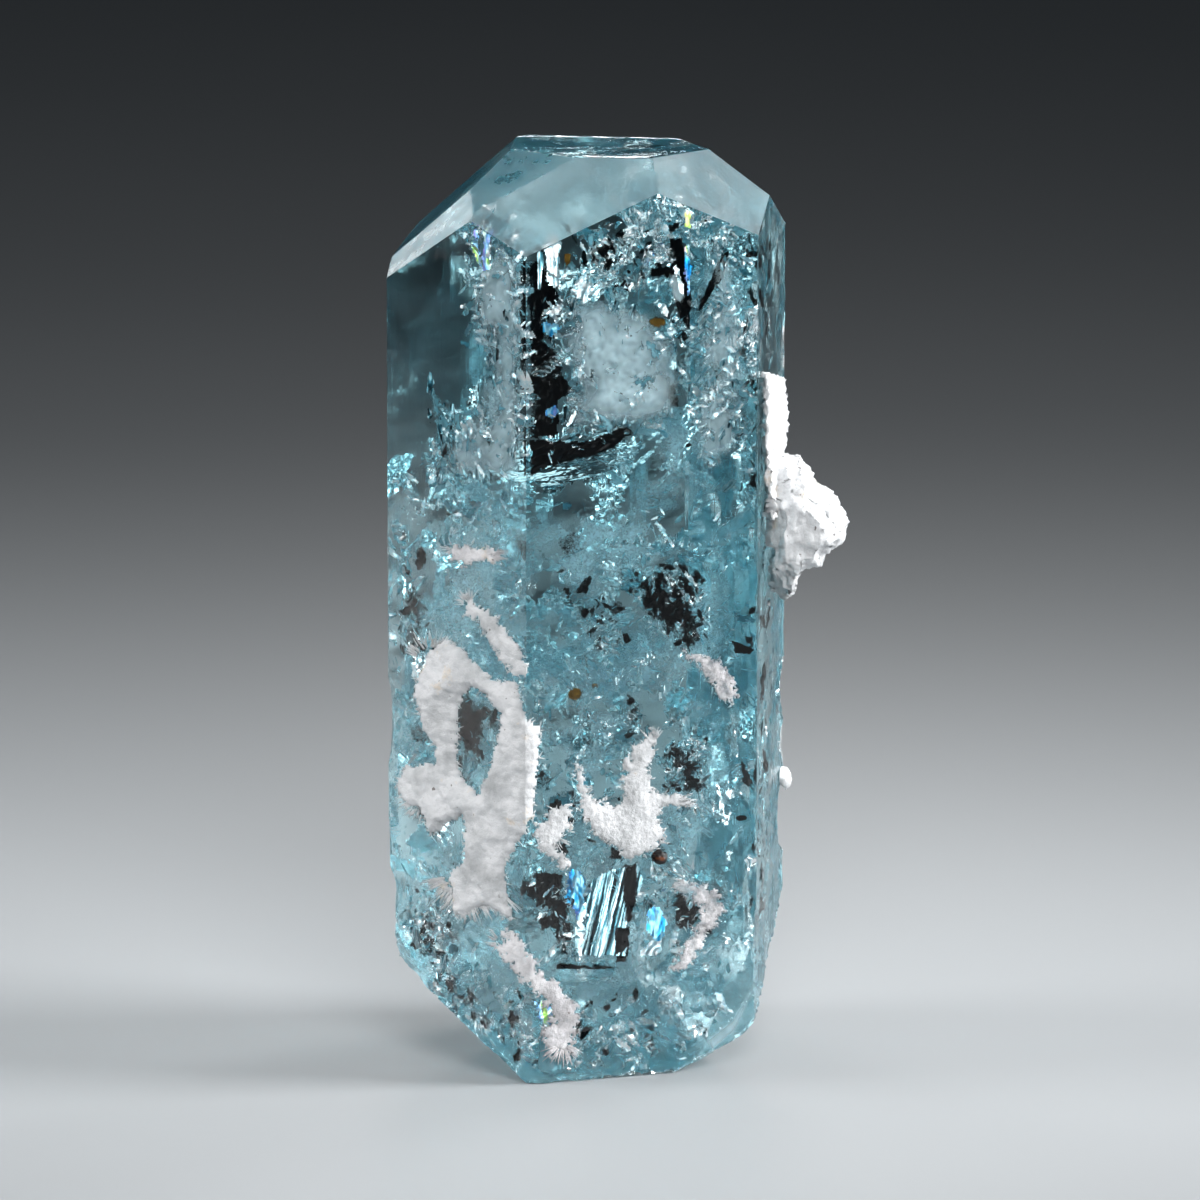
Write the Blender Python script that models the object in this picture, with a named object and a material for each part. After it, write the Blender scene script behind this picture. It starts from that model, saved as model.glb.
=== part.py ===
"""Aquamarine crystal with albite growths, standing on its small etched foot.

Run it in Blender 4.5. Metres, +Z up, origin at ground level on the prism's axis.
Azimuths are in degrees, turned from the front (-Y) towards +X.
"""

from math import cos, radians, sin

import bmesh
import bpy
from mathutils import Matrix, Vector

MM = 0.001
GAP = 0.3  # mm, kept between the crystal and what grew on it

# The prism: (azimuth, distance of the face from the axis in mm)
HEIGHT = 88.0
PRISM_FACES = (
    (-100, 17.65),
    (-40, 17.3),
    (20, 14.7),
    (80, 17.65),
    (140, 17.3),
    (200, 14.9),
)

# The cap: (azimuth, fall per mm outwards, distance in mm where it leaves the flat top)
CAP_FACES = (
    (-10, 0.815, 8.45),
    (-43, 0.49, 6.86),
    (-70, 1.216, 10.5),
    (-93, 0.9, 7.15),
    (-130, 1.0, 9.7),
    (170, 0.9, 6.9),
    (110, 0.83, 10.0),
    (50, 0.88, 10.45),
    (20, 0.66, 10.5),
)

# The dissolved lower end: (azimuth, rise per mm outwards, distance in mm where it leaves the foot)
FOOT_FACES = (
    (-85, 0.834, 7.3),
    (-70, 2.2, 14.1),
    (-10, 2.4, 17.3),
    (20, 2.6, 14.2),
    (65, 0.6, 12.7),
    (65, 1.4, 15.2),
    (110, 1.2, 8.95),
    (105, 3.2, 15.6),
    (150, 1.0, 8.5),
    (165, 2.6, 13.4),
    (200, 0.85, 7.5),
    (225, 2.2, 12.6),
    (245, 1.05, 8.5),
)

# Hollows eaten into the prism: centre and half sizes in mm
HOLLOWS = (
    ((21.4, 6.0, 22.0), (4.0, 5.0, 5.2)),
    ((21.0, 5.0, 34.0), (2.6, 5.0, 5.5)),
    ((-20.8, -6.4, 33.5), (2.4, 4.0, 6.5)),
    ((-20.6, -6.0, 15.5), (2.6, 4.0, 5.0)),
    ((-7.0, -19.6, 12.0), (2.6, 2.6, 8.0)),
    ((17.4, -11.6, 17.0), (3.0, 3.0, 7.0)),
    ((6.0, 19.9, 20.0), (4.0, 3.2, 7.0)),
    ((-17.6, 11.6, 24.0), (3.2, 3.2, 9.0)),
)

# Outlines of the flat growths seen from the front: (x, z) in mm
ARCH = (
    (-13.4, 42.0), (-14.9, 40.7), (-16.4, 36.7), (-15.6, 33.3), (-14.3, 31.5), (-14.4, 30.0),
    (-17.3, 28.9), (-18.2, 27.3), (-17.4, 25.7), (-15.8, 25.5), (-15.0, 22.9), (-13.5, 24.4),
    (-11.6, 25.6), (-11.5, 20.8), (-13.1, 19.1), (-12.5, 15.5), (-9.4, 17.2), (-7.2, 16.0),
    (-8.0, 19.4), (-8.0, 21.4), (-6.7, 23.8), (-5.3, 26.3), (-4.6, 34.8), (-6.0, 35.6),
    (-6.9, 38.9), (-9.0, 38.8), (-11.7, 41.2),
)
ARCH_HOLE = (
    (-11.4, 38.0), (-9.7, 37.8), (-8.0, 35.6), (-8.7, 31.4), (-10.2, 27.4), (-11.7, 28.4),
    (-12.6, 30.5), (-12.5, 35.6),
)
UPPER_RIBBON = (
    (-11.4, 46.5), (-11.6, 45.0), (-10.1, 44.3), (-8.0, 40.9), (-6.3, 39.6), (-5.6, 39.8),
    (-6.6, 42.4), (-8.0, 43.6), (-8.6, 44.9), (-10.3, 45.6),
)
LOWER_RIBBON = (
    (-8.1, 14.8), (-6.9, 15.0), (-4.5, 10.8), (-2.7, 9.8), (-2.5, 8.9), (-0.7, 6.8), (-1.3, 5.9),
    (-1.6, 3.6), (-2.4, 2.9), (-3.9, 3.4), (-4.1, 5.2), (-3.1, 6.2), (-3.2, 7.2), (-5.1, 9.4),
    (-7.5, 11.8), (-8.8, 13.1), (-7.6, 13.7),
)
FLAKE = ((-13.0, 50.9), (-12.1, 51.3), (-8.3, 51.3), (-8.6, 50.5), (-11.1, 49.9), (-12.5, 49.7))
TUFT = (
    (-4.9, 25.1), (-4.6, 25.7), (-3.9, 25.7), (-2.9, 27.2), (-1.8, 27.3), (-1.6, 26.1),
    (-2.0, 24.7), (-3.0, 23.6), (-2.9, 22.6), (-1.6, 21.3), (-2.6, 21.2), (-4.4, 23.2),
)
FORK = (
    (-1.1, 30.9), (-0.5, 30.6), (0.3, 27.4), (3.1, 26.6), (3.5, 28.1), (3.7, 31.2), (6.0, 33.7),
    (6.6, 33.3), (5.7, 29.4), (6.3, 27.6), (9.3, 26.9), (10.3, 26.4), (6.9, 26.1), (6.8, 24.8),
    (7.2, 23.0), (7.0, 22.7), (5.9, 22.5), (5.4, 21.7), (3.7, 21.5), (2.7, 22.6), (0.5, 24.5),
    (-0.4, 25.7),
)
HOOK = (
    (8.1, 18.5), (9.2, 18.8), (12.3, 17.6), (12.9, 16.3), (12.5, 15.0), (10.2, 11.3),
    (9.4, 10.4), (8.1, 10.1), (7.7, 10.5), (8.9, 11.4), (10.6, 14.5), (11.0, 16.1),
    (10.4, 16.8), (8.7, 17.8),
)
WISP = (
    (8.9, 41.1), (11.2, 40.6), (13.0, 39.4), (14.1, 37.4), (14.0, 36.3), (13.3, 36.0),
    (12.4, 37.0), (11.3, 38.6), (10.6, 39.6),
)
SIDE_BAND = ((16.9, 67.4), (18.9, 65.0), (18.9, 61.0), (18.2, 55.0), (17.6, 53.0), (16.8, 62.3))
KNOB = (
    (16.6, 57.0), (18.8, 58.2), (20.4, 57.7), (22.0, 55.6), (23.7, 54.2), (25.1, 51.6),
    (24.6, 49.8), (22.9, 48.7), (22.4, 47.4), (20.2, 46.8), (20.0, 45.0), (18.9, 43.9),
    (16.8, 46.6),
)
KNOB_SECTIONS = ((-6.6, 0.5), (-5.2, 0.8), (-2.0, 1.0), (2.2, 1.0), (4.8, 0.8), (6.2, 0.5))

THIN, MIDDLE, THICK = 0.5, 0.9, 1.2  # mm, how far growths stand out from the face
FRONT_REACH, BACK_REACH = -26.0, -6.4  # mm along Y, what an outline is swept through
SIDE_REACH = 6.2

BEAD = ((18.7, 5.4, 25.4), 1.3)
GRAIN = ((6.9, -13.45, 21.4), (0.8, 0.7, 0.75))


def outward(azimuth):
    return Vector((sin(radians(azimuth)), -cos(radians(azimuth)), 0.0))


def new_object(name, bm):
    mesh = bpy.data.meshes.new(name)
    bmesh.ops.recalc_face_normals(bm, faces=bm.faces[:])
    bm.to_mesh(mesh)
    bm.free()
    obj = bpy.data.objects.new(name, mesh)
    bpy.context.scene.collection.objects.link(obj)
    return obj


def as_cutter(obj):
    obj.hide_render = True
    obj.display_type = "WIRE"
    return obj


def boolean(obj, operation, other):
    step = obj.modifiers.new(operation.title(), "BOOLEAN")
    step.operation = operation
    step.solver = "EXACT"
    step.object = other


def give_material(obj, name, colour, roughness, transmission=0.0):
    material = bpy.data.materials.get(name) or bpy.data.materials.new(name)
    material.use_nodes = True
    shader = material.node_tree.nodes["Principled BSDF"]
    shader.inputs["Base Color"].default_value = (*colour, 1.0)
    shader.inputs["Roughness"].default_value = roughness
    shader.inputs["Metallic"].default_value = 0.0
    shader.inputs["Transmission Weight"].default_value = transmission
    obj.data.materials.append(material)


def slice_off(bm, point, normal):
    """Grinds a flat face: everything beyond the plane goes, and the cut is closed."""
    cut = bmesh.ops.bisect_plane(
        bm,
        geom=bm.verts[:] + bm.edges[:] + bm.faces[:],
        dist=1e-7,
        plane_co=point,
        plane_no=normal,
        clear_outer=True,
    )
    edges = [part for part in cut["geom_cut"] if isinstance(part, bmesh.types.BMEdge)]
    if edges:
        bmesh.ops.contextual_create(bm, geom=edges)


def crystal_shape(grow=0.0):
    """The ground form, with every face moved outwards by grow mm."""
    bm = bmesh.new()
    block = 3.0 * HEIGHT * MM
    bmesh.ops.create_cube(bm, size=block)
    slice_off(bm, Vector((0, 0, (HEIGHT + grow) * MM)), Vector((0, 0, 1)))
    slice_off(bm, Vector((0, 0, -grow * MM)), Vector((0, 0, -1)))
    for azimuth, distance in PRISM_FACES:
        side = outward(azimuth)
        slice_off(bm, side * (distance + grow) * MM, side)
    for azimuth, fall, distance in CAP_FACES:
        side = outward(azimuth)
        normal = (side * fall + Vector((0, 0, 1))).normalized()
        slice_off(bm, (side * distance + Vector((0, 0, HEIGHT)) + normal * grow) * MM, normal)
    for azimuth, rise, distance in FOOT_FACES:
        side = outward(azimuth)
        normal = (side * rise - Vector((0, 0, 1))).normalized()
        slice_off(bm, (side * distance + normal * grow) * MM, normal)
    return bm


def swept(outline, sections):
    """A solid through copies of an outline in the XZ plane: sections are (y, scale)."""
    bm = bmesh.new()
    middle = Vector((sum(x for x, _ in outline), 0, sum(z for _, z in outline))) / len(outline)
    loops = []
    for y, scale in sections:
        points = [middle + (Vector((x, 0, z)) - middle) * scale for x, z in outline]
        loops.append([bm.verts.new((p + Vector((0, y, 0))) * MM) for p in points])
    rims = [
        [bm.edges.new((loop[i - 1], loop[i])) for i in range(len(loop))] for loop in loops
    ]
    bm.faces.new(loops[0])
    bm.faces.new(reversed(loops[-1]))
    for first, second in zip(rims, rims[1:]):
        bmesh.ops.bridge_loops(bm, edges=first + second)
    return bm


def blob(centre, half_sizes, detail):
    bm = bmesh.new()
    place = Matrix.Translation(Vector(centre) * MM) @ Matrix.Diagonal((*half_sizes, 1.0))
    bmesh.ops.create_icosphere(bm, subdivisions=detail, radius=MM, matrix=place)
    return bm


def make_crystal():
    crystal = new_object("aquamarine_crystal", crystal_shape())
    for number, (centre, half_sizes) in enumerate(HOLLOWS, 1):
        hollow = as_cutter(new_object(f"hollow_{number}", blob(centre, half_sizes, 2)))
        boolean(crystal, "DIFFERENCE", hollow)
    give_material(crystal, "aquamarine", (0.35, 0.66, 0.72), 0.12, transmission=0.9)


def make_growth(name, outline, outer, inner, hole=None):
    reach = ((FRONT_REACH, 1.0), (BACK_REACH, 1.0))
    growth = new_object(name, swept(outline, reach))
    if hole:
        past = ((FRONT_REACH - 1.0, 1.0), (BACK_REACH + 1.0, 1.0))
        boolean(growth, "DIFFERENCE", as_cutter(new_object(f"{name}_hole", swept(hole, past))))
    boolean(growth, "INTERSECT", outer)
    boolean(growth, "DIFFERENCE", inner)
    give_material(growth, "albite", (0.88, 0.87, 0.88), 0.75)


def make_knob(outer, inner):
    knob = new_object("albite_knob", swept(KNOB, KNOB_SECTIONS))
    reach = ((FRONT_REACH, 1.0), (SIDE_REACH, 1.0))
    band = as_cutter(new_object("albite_knob_band", swept(SIDE_BAND, reach)))
    boolean(band, "INTERSECT", outer)
    boolean(knob, "UNION", band)
    boolean(knob, "DIFFERENCE", inner)
    give_material(knob, "albite", (0.88, 0.87, 0.88), 0.75)


def make_crumbs(inner):
    centre, radius = BEAD
    bead = new_object("albite_bead", blob(centre, (radius, radius, radius), 2))
    boolean(bead, "DIFFERENCE", inner)
    give_material(bead, "albite", (0.88, 0.87, 0.88), 0.75)
    grain = new_object("garnet_grain", blob(*GRAIN, 2))
    boolean(grain, "DIFFERENCE", inner)
    give_material(grain, "garnet", (0.13, 0.05, 0.03), 0.35)


def main():
    for obj in list(bpy.data.objects):
        bpy.data.objects.remove(obj, do_unlink=True)
    inner = as_cutter(new_object("clearance", crystal_shape(GAP)))
    thin, middle, thick = (
        as_cutter(new_object(f"skin_{name}", crystal_shape(GAP + depth)))
        for name, depth in (("thin", THIN), ("middle", MIDDLE), ("thick", THICK))
    )
    make_crystal()
    make_knob(middle, inner)
    make_growth("albite_arch", ARCH, thick, inner, ARCH_HOLE)
    make_growth("albite_upper_ribbon", UPPER_RIBBON, middle, inner)
    make_growth("albite_lower_ribbon", LOWER_RIBBON, middle, inner)
    make_growth("albite_flake", FLAKE, thin, inner)
    make_growth("albite_tuft", TUFT, middle, inner)
    make_growth("albite_fork", FORK, thin, inner)
    make_growth("albite_hook", HOOK, thin, inner)
    make_growth("albite_wisp", WISP, thin, inner)
    make_crumbs(inner)


main()
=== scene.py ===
"""A natural aquamarine crystal with crusts of white albite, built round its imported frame."""

from math import atan2, cos, degrees, exp, pi, radians, sin, sqrt
from random import Random

import bmesh
import bpy
from mathutils import Matrix, Vector, noise
from mathutils.bvhtree import BVHTree


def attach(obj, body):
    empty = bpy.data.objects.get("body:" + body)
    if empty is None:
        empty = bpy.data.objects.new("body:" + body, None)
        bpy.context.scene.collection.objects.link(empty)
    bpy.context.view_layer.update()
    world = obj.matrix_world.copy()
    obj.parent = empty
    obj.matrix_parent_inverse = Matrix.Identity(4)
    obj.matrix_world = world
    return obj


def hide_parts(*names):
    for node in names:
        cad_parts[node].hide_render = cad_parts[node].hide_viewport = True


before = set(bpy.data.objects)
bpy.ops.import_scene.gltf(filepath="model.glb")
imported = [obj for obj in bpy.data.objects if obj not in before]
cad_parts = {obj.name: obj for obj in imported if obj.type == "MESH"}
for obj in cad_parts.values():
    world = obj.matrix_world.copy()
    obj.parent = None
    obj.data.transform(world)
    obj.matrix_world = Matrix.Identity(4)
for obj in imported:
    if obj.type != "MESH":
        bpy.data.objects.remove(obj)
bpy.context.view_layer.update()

scene = bpy.context.scene
MM = 0.001                      # a millimetre in Blender's metres
UP = Vector((0, 0, 1))


def tint(code):
    """An sRGB hex colour turned to the linear one that the shaders take."""
    channels = [int(code[i:i + 2], 16) / 255 for i in (1, 3, 5)]
    linear = [c / 12.92 if c <= 0.04045 else ((c + 0.055) / 1.055) ** 2.4 for c in channels]
    return (*linear, 1)


# ---------------------------------------------------------------- camera and light

def look(place, target):
    """The turn that points an object's own -Z from one place to another."""
    return (Vector(target) - Vector(place)).to_track_quat("-Z", "Y").to_euler()


lens = bpy.data.cameras.new("camera")
lens.lens = 300
lens.sensor_width = 36
lens.clip_end = 20
camera = bpy.data.objects.new("camera", lens)
camera.location = (0.0012, -0.9473, 0.2142)
camera.rotation_euler = (radians(90 - 10.19), 0, 0)
scene.collection.objects.link(camera)
scene.camera = camera


def softbox(name, place, target, width, height, watts, spread):
    """A flat studio lamp, with a grid that narrows its spread to so many degrees."""
    lamp = bpy.data.lights.new(name, "AREA")
    lamp.shape = "RECTANGLE"
    lamp.size = width
    lamp.size_y = height
    lamp.energy = watts
    lamp.spread = radians(spread)
    stand = bpy.data.objects.new(name, lamp)
    stand.location = place
    stand.rotation_euler = look(place, target)
    scene.collection.objects.link(stand)


MIDDLE = (0, 0, 0.045)
softbox("overhead softbox", (0.0, 0.06, 0.42), MIDDLE, 0.30, 0.30, 0.22, 110)
softbox("rear left strip", (-0.25, 0.37, 0.17), MIDDLE, 0.14, 0.36, 0.06, 60)
softbox("rear right strip", (0.30, 0.30, 0.28), MIDDLE, 0.16, 0.34, 0.11, 60)
softbox("rear low strip", (0.02, 0.62, 0.250), (0, 0, 0.08), 0.16, 0.06, 0.018, 60)
softbox("left softbox", (-0.36, -0.02, 0.18), MIDDLE, 0.16, 0.34, 0.19, 60)
softbox("right softbox", (0.36, -0.02, 0.18), MIDDLE, 0.16, 0.34, 0.46, 60)
softbox("front fill", (0.10, -0.70, 0.52), MIDDLE, 0.40, 0.40, 0.56, 50)

world = bpy.data.worlds.new("dim studio")
world.use_nodes = True
world.node_tree.nodes["Background"].inputs["Color"].default_value = tint("#1a1f23")
scene.world = world
scene.view_settings.view_transform = "Standard"
# enough bounces for light to find its way between the cracks
scene.cycles.max_bounces = 18
scene.cycles.transmission_bounces = 16
scene.cycles.transparent_max_bounces = 24
scene.cycles.diffuse_bounces = 6
scene.cycles.glossy_bounces = 12


# ---------------------------------------------------------------- materials

# In every noise texture, Scale is 1000 over the size in mm of the patches, grains or lines it
# draws, and each step of its Detail adds some of half that size.
BERYL_IOR = 1.577               # of aquamarine


def feed(tree, target, **inputs):
    """Set some inputs of a node: each to a value, or to the output that feeds it. _0 is its first
    input, and so on."""
    for name, value in inputs.items():
        socket = target.inputs[int(name[1:]) if name[0] == "_" else name.replace("_", " ")]
        if isinstance(value, bpy.types.NodeSocket):
            tree.links.new(value, socket)
        else:
            socket.default_value = value


def node(tree, kind, settings=None, **inputs):
    """Add one node, with its settings and its inputs. The stops of a colour ramp are pairs of
    place and sRGB hex colour."""
    new = tree.nodes.new("ShaderNode" + kind)
    for name, value in (settings or {}).items():
        if name != "stops":
            setattr(new, name, value)
            continue
        while len(new.color_ramp.elements) < len(value):
            new.color_ramp.elements.new(1)
        for element, (place, colour) in zip(new.color_ramp.elements, value):
            element.position = place
            element.color = tint(colour)
    feed(tree, new, **inputs)
    return new


def blank(name):
    """A new material, its tree, its Principled shader and the coordinates its patterns follow."""
    material = bpy.data.materials.new(name)
    material.use_nodes = True
    material.use_transparent_shadow = False
    tree = material.node_tree
    place = node(tree, "TexCoord").outputs["Object"]
    return material, tree, tree.nodes["Principled BSDF"], place


def make_aquamarine():
    """Aquamarine, a natural beryl: clear sea-blue glass-like stone with growth faces that run from
    mirror bright to etched. The frost attribute is how dull a face is, in patches 2.4 mm wide, and
    the etch attribute is how deep its pits are, 0.7 mm wide and smaller."""
    material, tree, stone, place = blank("aquamarine beryl")
    frost = node(tree, "Attribute", {"attribute_name": "frost"}).outputs["Fac"]
    patch = node(tree, "TexNoise", Vector=place, Scale=420, Detail=4, Roughness=0.6).outputs["Fac"]
    spread = node(tree, "MapRange", Value=patch, From_Min=0.36, From_Max=0.62,
                  To_Min=0.65, To_Max=1.3).outputs[0]
    rough = node(tree, "Math", {"operation": "MULTIPLY", "use_clamp": True}, _0=frost, _1=spread)
    # growth lines 0.5 mm apart and finer run up the prism; most real ones are too fine to show
    stretched = node(tree, "Mapping", Vector=place, Scale=(1, 1, 0.035)).outputs[0]
    lines = node(tree, "TexNoise", Vector=stretched, Scale=1900, Detail=3).outputs["Fac"]
    pits = node(tree, "TexNoise", Vector=place, Scale=1500, Detail=4, Roughness=0.6).outputs["Fac"]
    etch = node(tree, "Attribute", {"attribute_name": "etch"}).outputs["Fac"]
    etched = node(tree, "Math", {"operation": "MULTIPLY"}, _0=pits, _1=etch).outputs[0]
    height = node(tree, "Math", {"operation": "MULTIPLY_ADD"}, _0=lines, _1=0.12, _2=etched)
    bump = node(tree, "Bump", Height=height.outputs[0], Distance=0.18 * MM, Strength=0.8)
    feed(tree, stone, Base_Color=tint("#fbfeff"), Roughness=rough.outputs[0], IOR=BERYL_IOR,
         Transmission_Weight=1, Normal=bump.outputs[0])
    depth = node(tree, "VolumeAbsorption", Color=tint("#97dee7"), Density=38)
    feed(tree, tree.nodes["Material Output"], Volume=depth.outputs[0])
    return material


def make_gap():
    """The walls of a sealed crack: the same beryl, met from inside, so they mirror at a slant.
    Creases 0.8 mm apart and finer break the mirror into bright flashes."""
    material, tree, wall, place = blank("beryl crack wall")
    patch = node(tree, "TexNoise", Vector=place, Scale=1300, Detail=3).outputs["Fac"]
    rough = node(tree, "MapRange", Value=patch, From_Min=0.3, From_Max=0.7,
                 To_Min=0.0, To_Max=0.12).outputs[0]
    crease = node(tree, "TexNoise", {"noise_type": "RIDGED_MULTIFRACTAL"}, Vector=place, Scale=1300,
                  Detail=3, Gain=2).outputs["Fac"]
    bump = node(tree, "Bump", Height=crease, Distance=0.06 * MM)
    feed(tree, wall, Base_Color=tint("#fbfeff"), Roughness=rough, IOR=BERYL_IOR,
         Transmission_Weight=1, Normal=bump.outputs[0])
    return material


def make_veil():
    """A veil of fluid-filled specks along a healed crack: white dust in clouds 3 mm wide, clear
    between them. Real specks are a hundredth of a millimetre, too fine to show, so they are drawn
    0.24 mm wide. The fade attribute thins the veil towards its rim."""
    material, tree, dust, place = blank("fluid speck veil")
    fade = node(tree, "Attribute", {"attribute_name": "fade"}).outputs["Fac"]
    cloud = node(tree, "TexNoise", Vector=place, Scale=300, Detail=4, Roughness=0.66).outputs["Fac"]
    grain = node(tree, "TexNoise", Vector=place, Scale=4200, Detail=3, Roughness=0.7).outputs["Fac"]
    both = node(tree, "Math", {"operation": "MULTIPLY_ADD"}, _0=grain, _1=0.55, _2=cloud).outputs[0]
    thick = node(tree, "MapRange", Value=both, From_Min=0.66, From_Max=0.92,
                 To_Min=0.0, To_Max=0.85).outputs[0]
    alpha = node(tree, "Math", {"operation": "MULTIPLY"}, _0=thick, _1=fade).outputs[0]
    feed(tree, dust, Base_Color=tint("#c9ebf4"), Roughness=0.6, Alpha=alpha)
    return material


def make_haze():
    """Milky haze: dust too fine to see, as a soft pale cloud that thins here and there over 4 mm.
    Its strength is its fade attribute."""
    material, tree, dust, place = blank("milky haze")
    fade = node(tree, "Attribute", {"attribute_name": "fade"}).outputs["Fac"]
    cloud = node(tree, "TexNoise", Vector=place, Scale=260, Detail=2, Roughness=0.5).outputs["Fac"]
    thick = node(tree, "MapRange", Value=cloud, From_Min=0.30, From_Max=0.62,
                 To_Min=0.1, To_Max=1.0).outputs[0]
    alpha = node(tree, "Math", {"operation": "MULTIPLY"}, _0=thick, _1=fade).outputs[0]
    feed(tree, dust, Base_Color=tint("#dff5fb"), Metallic=0.2, Roughness=0.6, Alpha=alpha)
    return material


def film(name, *stops, cover, streaks, rough, relief, metallic=0):
    """A film in a crack. Its colour comes from thin ridged creases, 1.6 mm apart and finer, and
    from the stripe attribute, by the share called streaks. Noise against the fade attribute makes
    its ragged rim: cover is where the film starts and where it is whole. Relief is in mm."""
    material, tree, skin, place = blank(name)
    fade = node(tree, "Attribute", {"attribute_name": "fade"}).outputs["Fac"]
    stripe = node(tree, "Attribute", {"attribute_name": "stripe"}).outputs["Fac"]
    ridge = node(tree, "TexNoise", {"noise_type": "RIDGED_MULTIFRACTAL"}, Vector=place, Scale=620,
                 Detail=3, Gain=2).outputs["Fac"]
    crease = node(tree, "MapRange", Value=ridge, From_Min=0.8, From_Max=1.7, To_Max=1 - streaks)
    level = node(tree, "Math", {"operation": "MULTIPLY_ADD"}, _0=stripe, _1=streaks,
                 _2=crease.outputs[0]).outputs[0]
    colour = node(tree, "ValToRGB", {"stops": stops}, Fac=level).outputs["Color"]
    cloud = node(tree, "TexNoise", Vector=place, Scale=620, Detail=4, Roughness=0.75).outputs["Fac"]
    both = node(tree, "Math", {"operation": "MULTIPLY_ADD"}, _0=cloud, _1=3.0, _2=fade).outputs[0]
    alpha = node(tree, "MapRange", Value=both, From_Min=cover[0], From_Max=cover[1]).outputs[0]
    bump = node(tree, "Bump", Height=ridge, Distance=relief * MM)
    feed(tree, skin, Base_Color=colour, Metallic=metallic, Roughness=rough, Alpha=alpha,
         Specular_IOR_Level=0.05, Normal=bump.outputs[0])
    return material


def make_painted_shade_film():
    """A black, glassy sheet in a crack that paints shade where the crystal looks dark, with painted
    glints on its thin silver creases.
    """
    return film("painted shade crack film", (0.54, "#010508"), (0.62, "#0b252d"), (0.66, "#6fa3b0"),
                (0.69, "#0b1d24"), (0.74, "#e3f6fa"), (0.80, "#5c93a1"), (0.88, "#ffffff"),
                cover=(1.80, 2.05), streaks=0.4, rough=0.15, relief=0.05)


def make_smoky_painted_shade():
    """A thinner sheet of painted shade: smoke black and deep teal, broken by many creases drawn
    bright as painted glints.
    """
    return film("smoky painted shade film", (0.40, "#02080b"), (0.52, "#14343e"), (0.58, "#5f97a4"),
                (0.61, "#0e2a33"), (0.67, "#d2edf3"), (0.71, "#3d7280"), (0.80, "#ffffff"),
                cover=(1.80, 2.20), streaks=0.35, rough=0.18, relief=0.06)


def make_pearl_film():
    """A milky, pearly skin on a crack: near white, with a soft shine and bluish folds."""
    return film("pearly crack film", (0.25, "#7fb6c4"), (0.42, "#bfe3ed"), (0.54, "#e6f7fb"),
                (0.70, "#ffffff"),
                cover=(1.75, 2.40), streaks=0.35, rough=0.34, relief=0.08, metallic=0.08)


def make_streaked_film():
    """A crack face streaked by growth lines: white and sea blue, beside black streaks of painted
    shade.
    """
    return film("streaked crack film", (0.22, "#0a1d24"), (0.30, "#7fb2bf"), (0.36, "#ffffff"),
                (0.43, "#8fc0cb"), (0.50, "#ffffff"), (0.57, "#d9eff4"), (0.64, "#5b8f9b"),
                (0.70, "#10303a"), (0.80, "#c9e6ed"),
                cover=(1.80, 1.95), streaks=0.88, rough=0.25, relief=0.04, metallic=0.1)


def make_silver_film():
    """A stepped crack that mirrors the light: silver with sea-blue grooves, and black ones that are
    painted shade.
    """
    return film("silvery stepped crack", (0.16, "#06161b"), (0.26, "#3f7887"), (0.35, "#b9dbe3"),
                (0.42, "#4d8796"), (0.50, "#eaf7fa"), (0.57, "#7fb4c1"), (0.65, "#2b5a67"),
                (0.73, "#0a1d24"), (0.82, "#c4e3ea"),
                cover=(1.80, 1.95), streaks=0.88, rough=0.3, relief=0.06, metallic=1)


def make_flake():
    """A gas-filled crack met square on: it mirrors like foil crumpled 0.7 mm wide, silver white."""
    material, tree, foil, place = blank("silver crack flake")
    cloud = node(tree, "TexNoise", Vector=place, Scale=1500, Detail=3, Roughness=0.6).outputs["Fac"]
    stops = ((0.36, "#a6d3df"), (0.50, "#e6f6fa"), (0.62, "#ffffff"))
    colour = node(tree, "ValToRGB", {"stops": stops}, Fac=cloud).outputs["Color"]
    bump = node(tree, "Bump", Height=cloud, Distance=0.07 * MM)
    feed(tree, foil, Base_Color=colour, Metallic=1, Roughness=0.32, Normal=bump.outputs[0])
    return material


def sliver(name, *stops):
    """A sliver of crack that splits light into colours: a thin film whose hue shifts across it
    every 1.1 mm."""
    material, tree, skin, place = blank(name)
    stretched = node(tree, "Mapping", Vector=place, Scale=(1, 1, 0.3)).outputs[0]
    band = node(tree, "TexNoise", Vector=stretched, Scale=900, Detail=3).outputs["Fac"]
    colour = node(tree, "ValToRGB", {"stops": stops}, Fac=band).outputs["Color"]
    feed(tree, skin, Base_Color=colour, Metallic=0.9, Roughness=0.35)
    return material


def make_rainbow():
    """Thin-film colours of the second order: lime, violet and pink beside pale white."""
    return sliver("rainbow crack sliver", (0.34, "#9c8fd8"), (0.42, "#6fb2e2"), (0.49, "#dff6f2"),
                  (0.55, "#9be06a"), (0.62, "#d9d28c"), (0.70, "#dba6cf"))


def make_azure():
    """Thin-film colours of the first order: azure and cyan, with white beside them."""
    return sliver("azure crack sliver", (0.36, "#0e6fb8"), (0.46, "#27a8e0"), (0.54, "#a9e6f6"),
                  (0.62, "#1f8fd0"), (0.70, "#9a9be0"))


def make_rust_stain():
    """Iron stain: specks of limonite, ochre to olive, dull and earthy."""
    return film("limonite stain", (0.30, "#6e5420"), (0.46, "#c2812c"), (0.62, "#e3c37a"),
                cover=(1.85, 2.20), streaks=0.2, rough=0.6, relief=0.04)


def make_black_speck():
    """Specks of black iron-titanium ore: opaque, with a dull shine."""
    return film("black ilmenite", (0.40, "#040607"), (0.70, "#1b2225"),
                cover=(1.85, 1.95), streaks=0.2, rough=0.35, relief=0.05, metallic=0.2)


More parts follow.
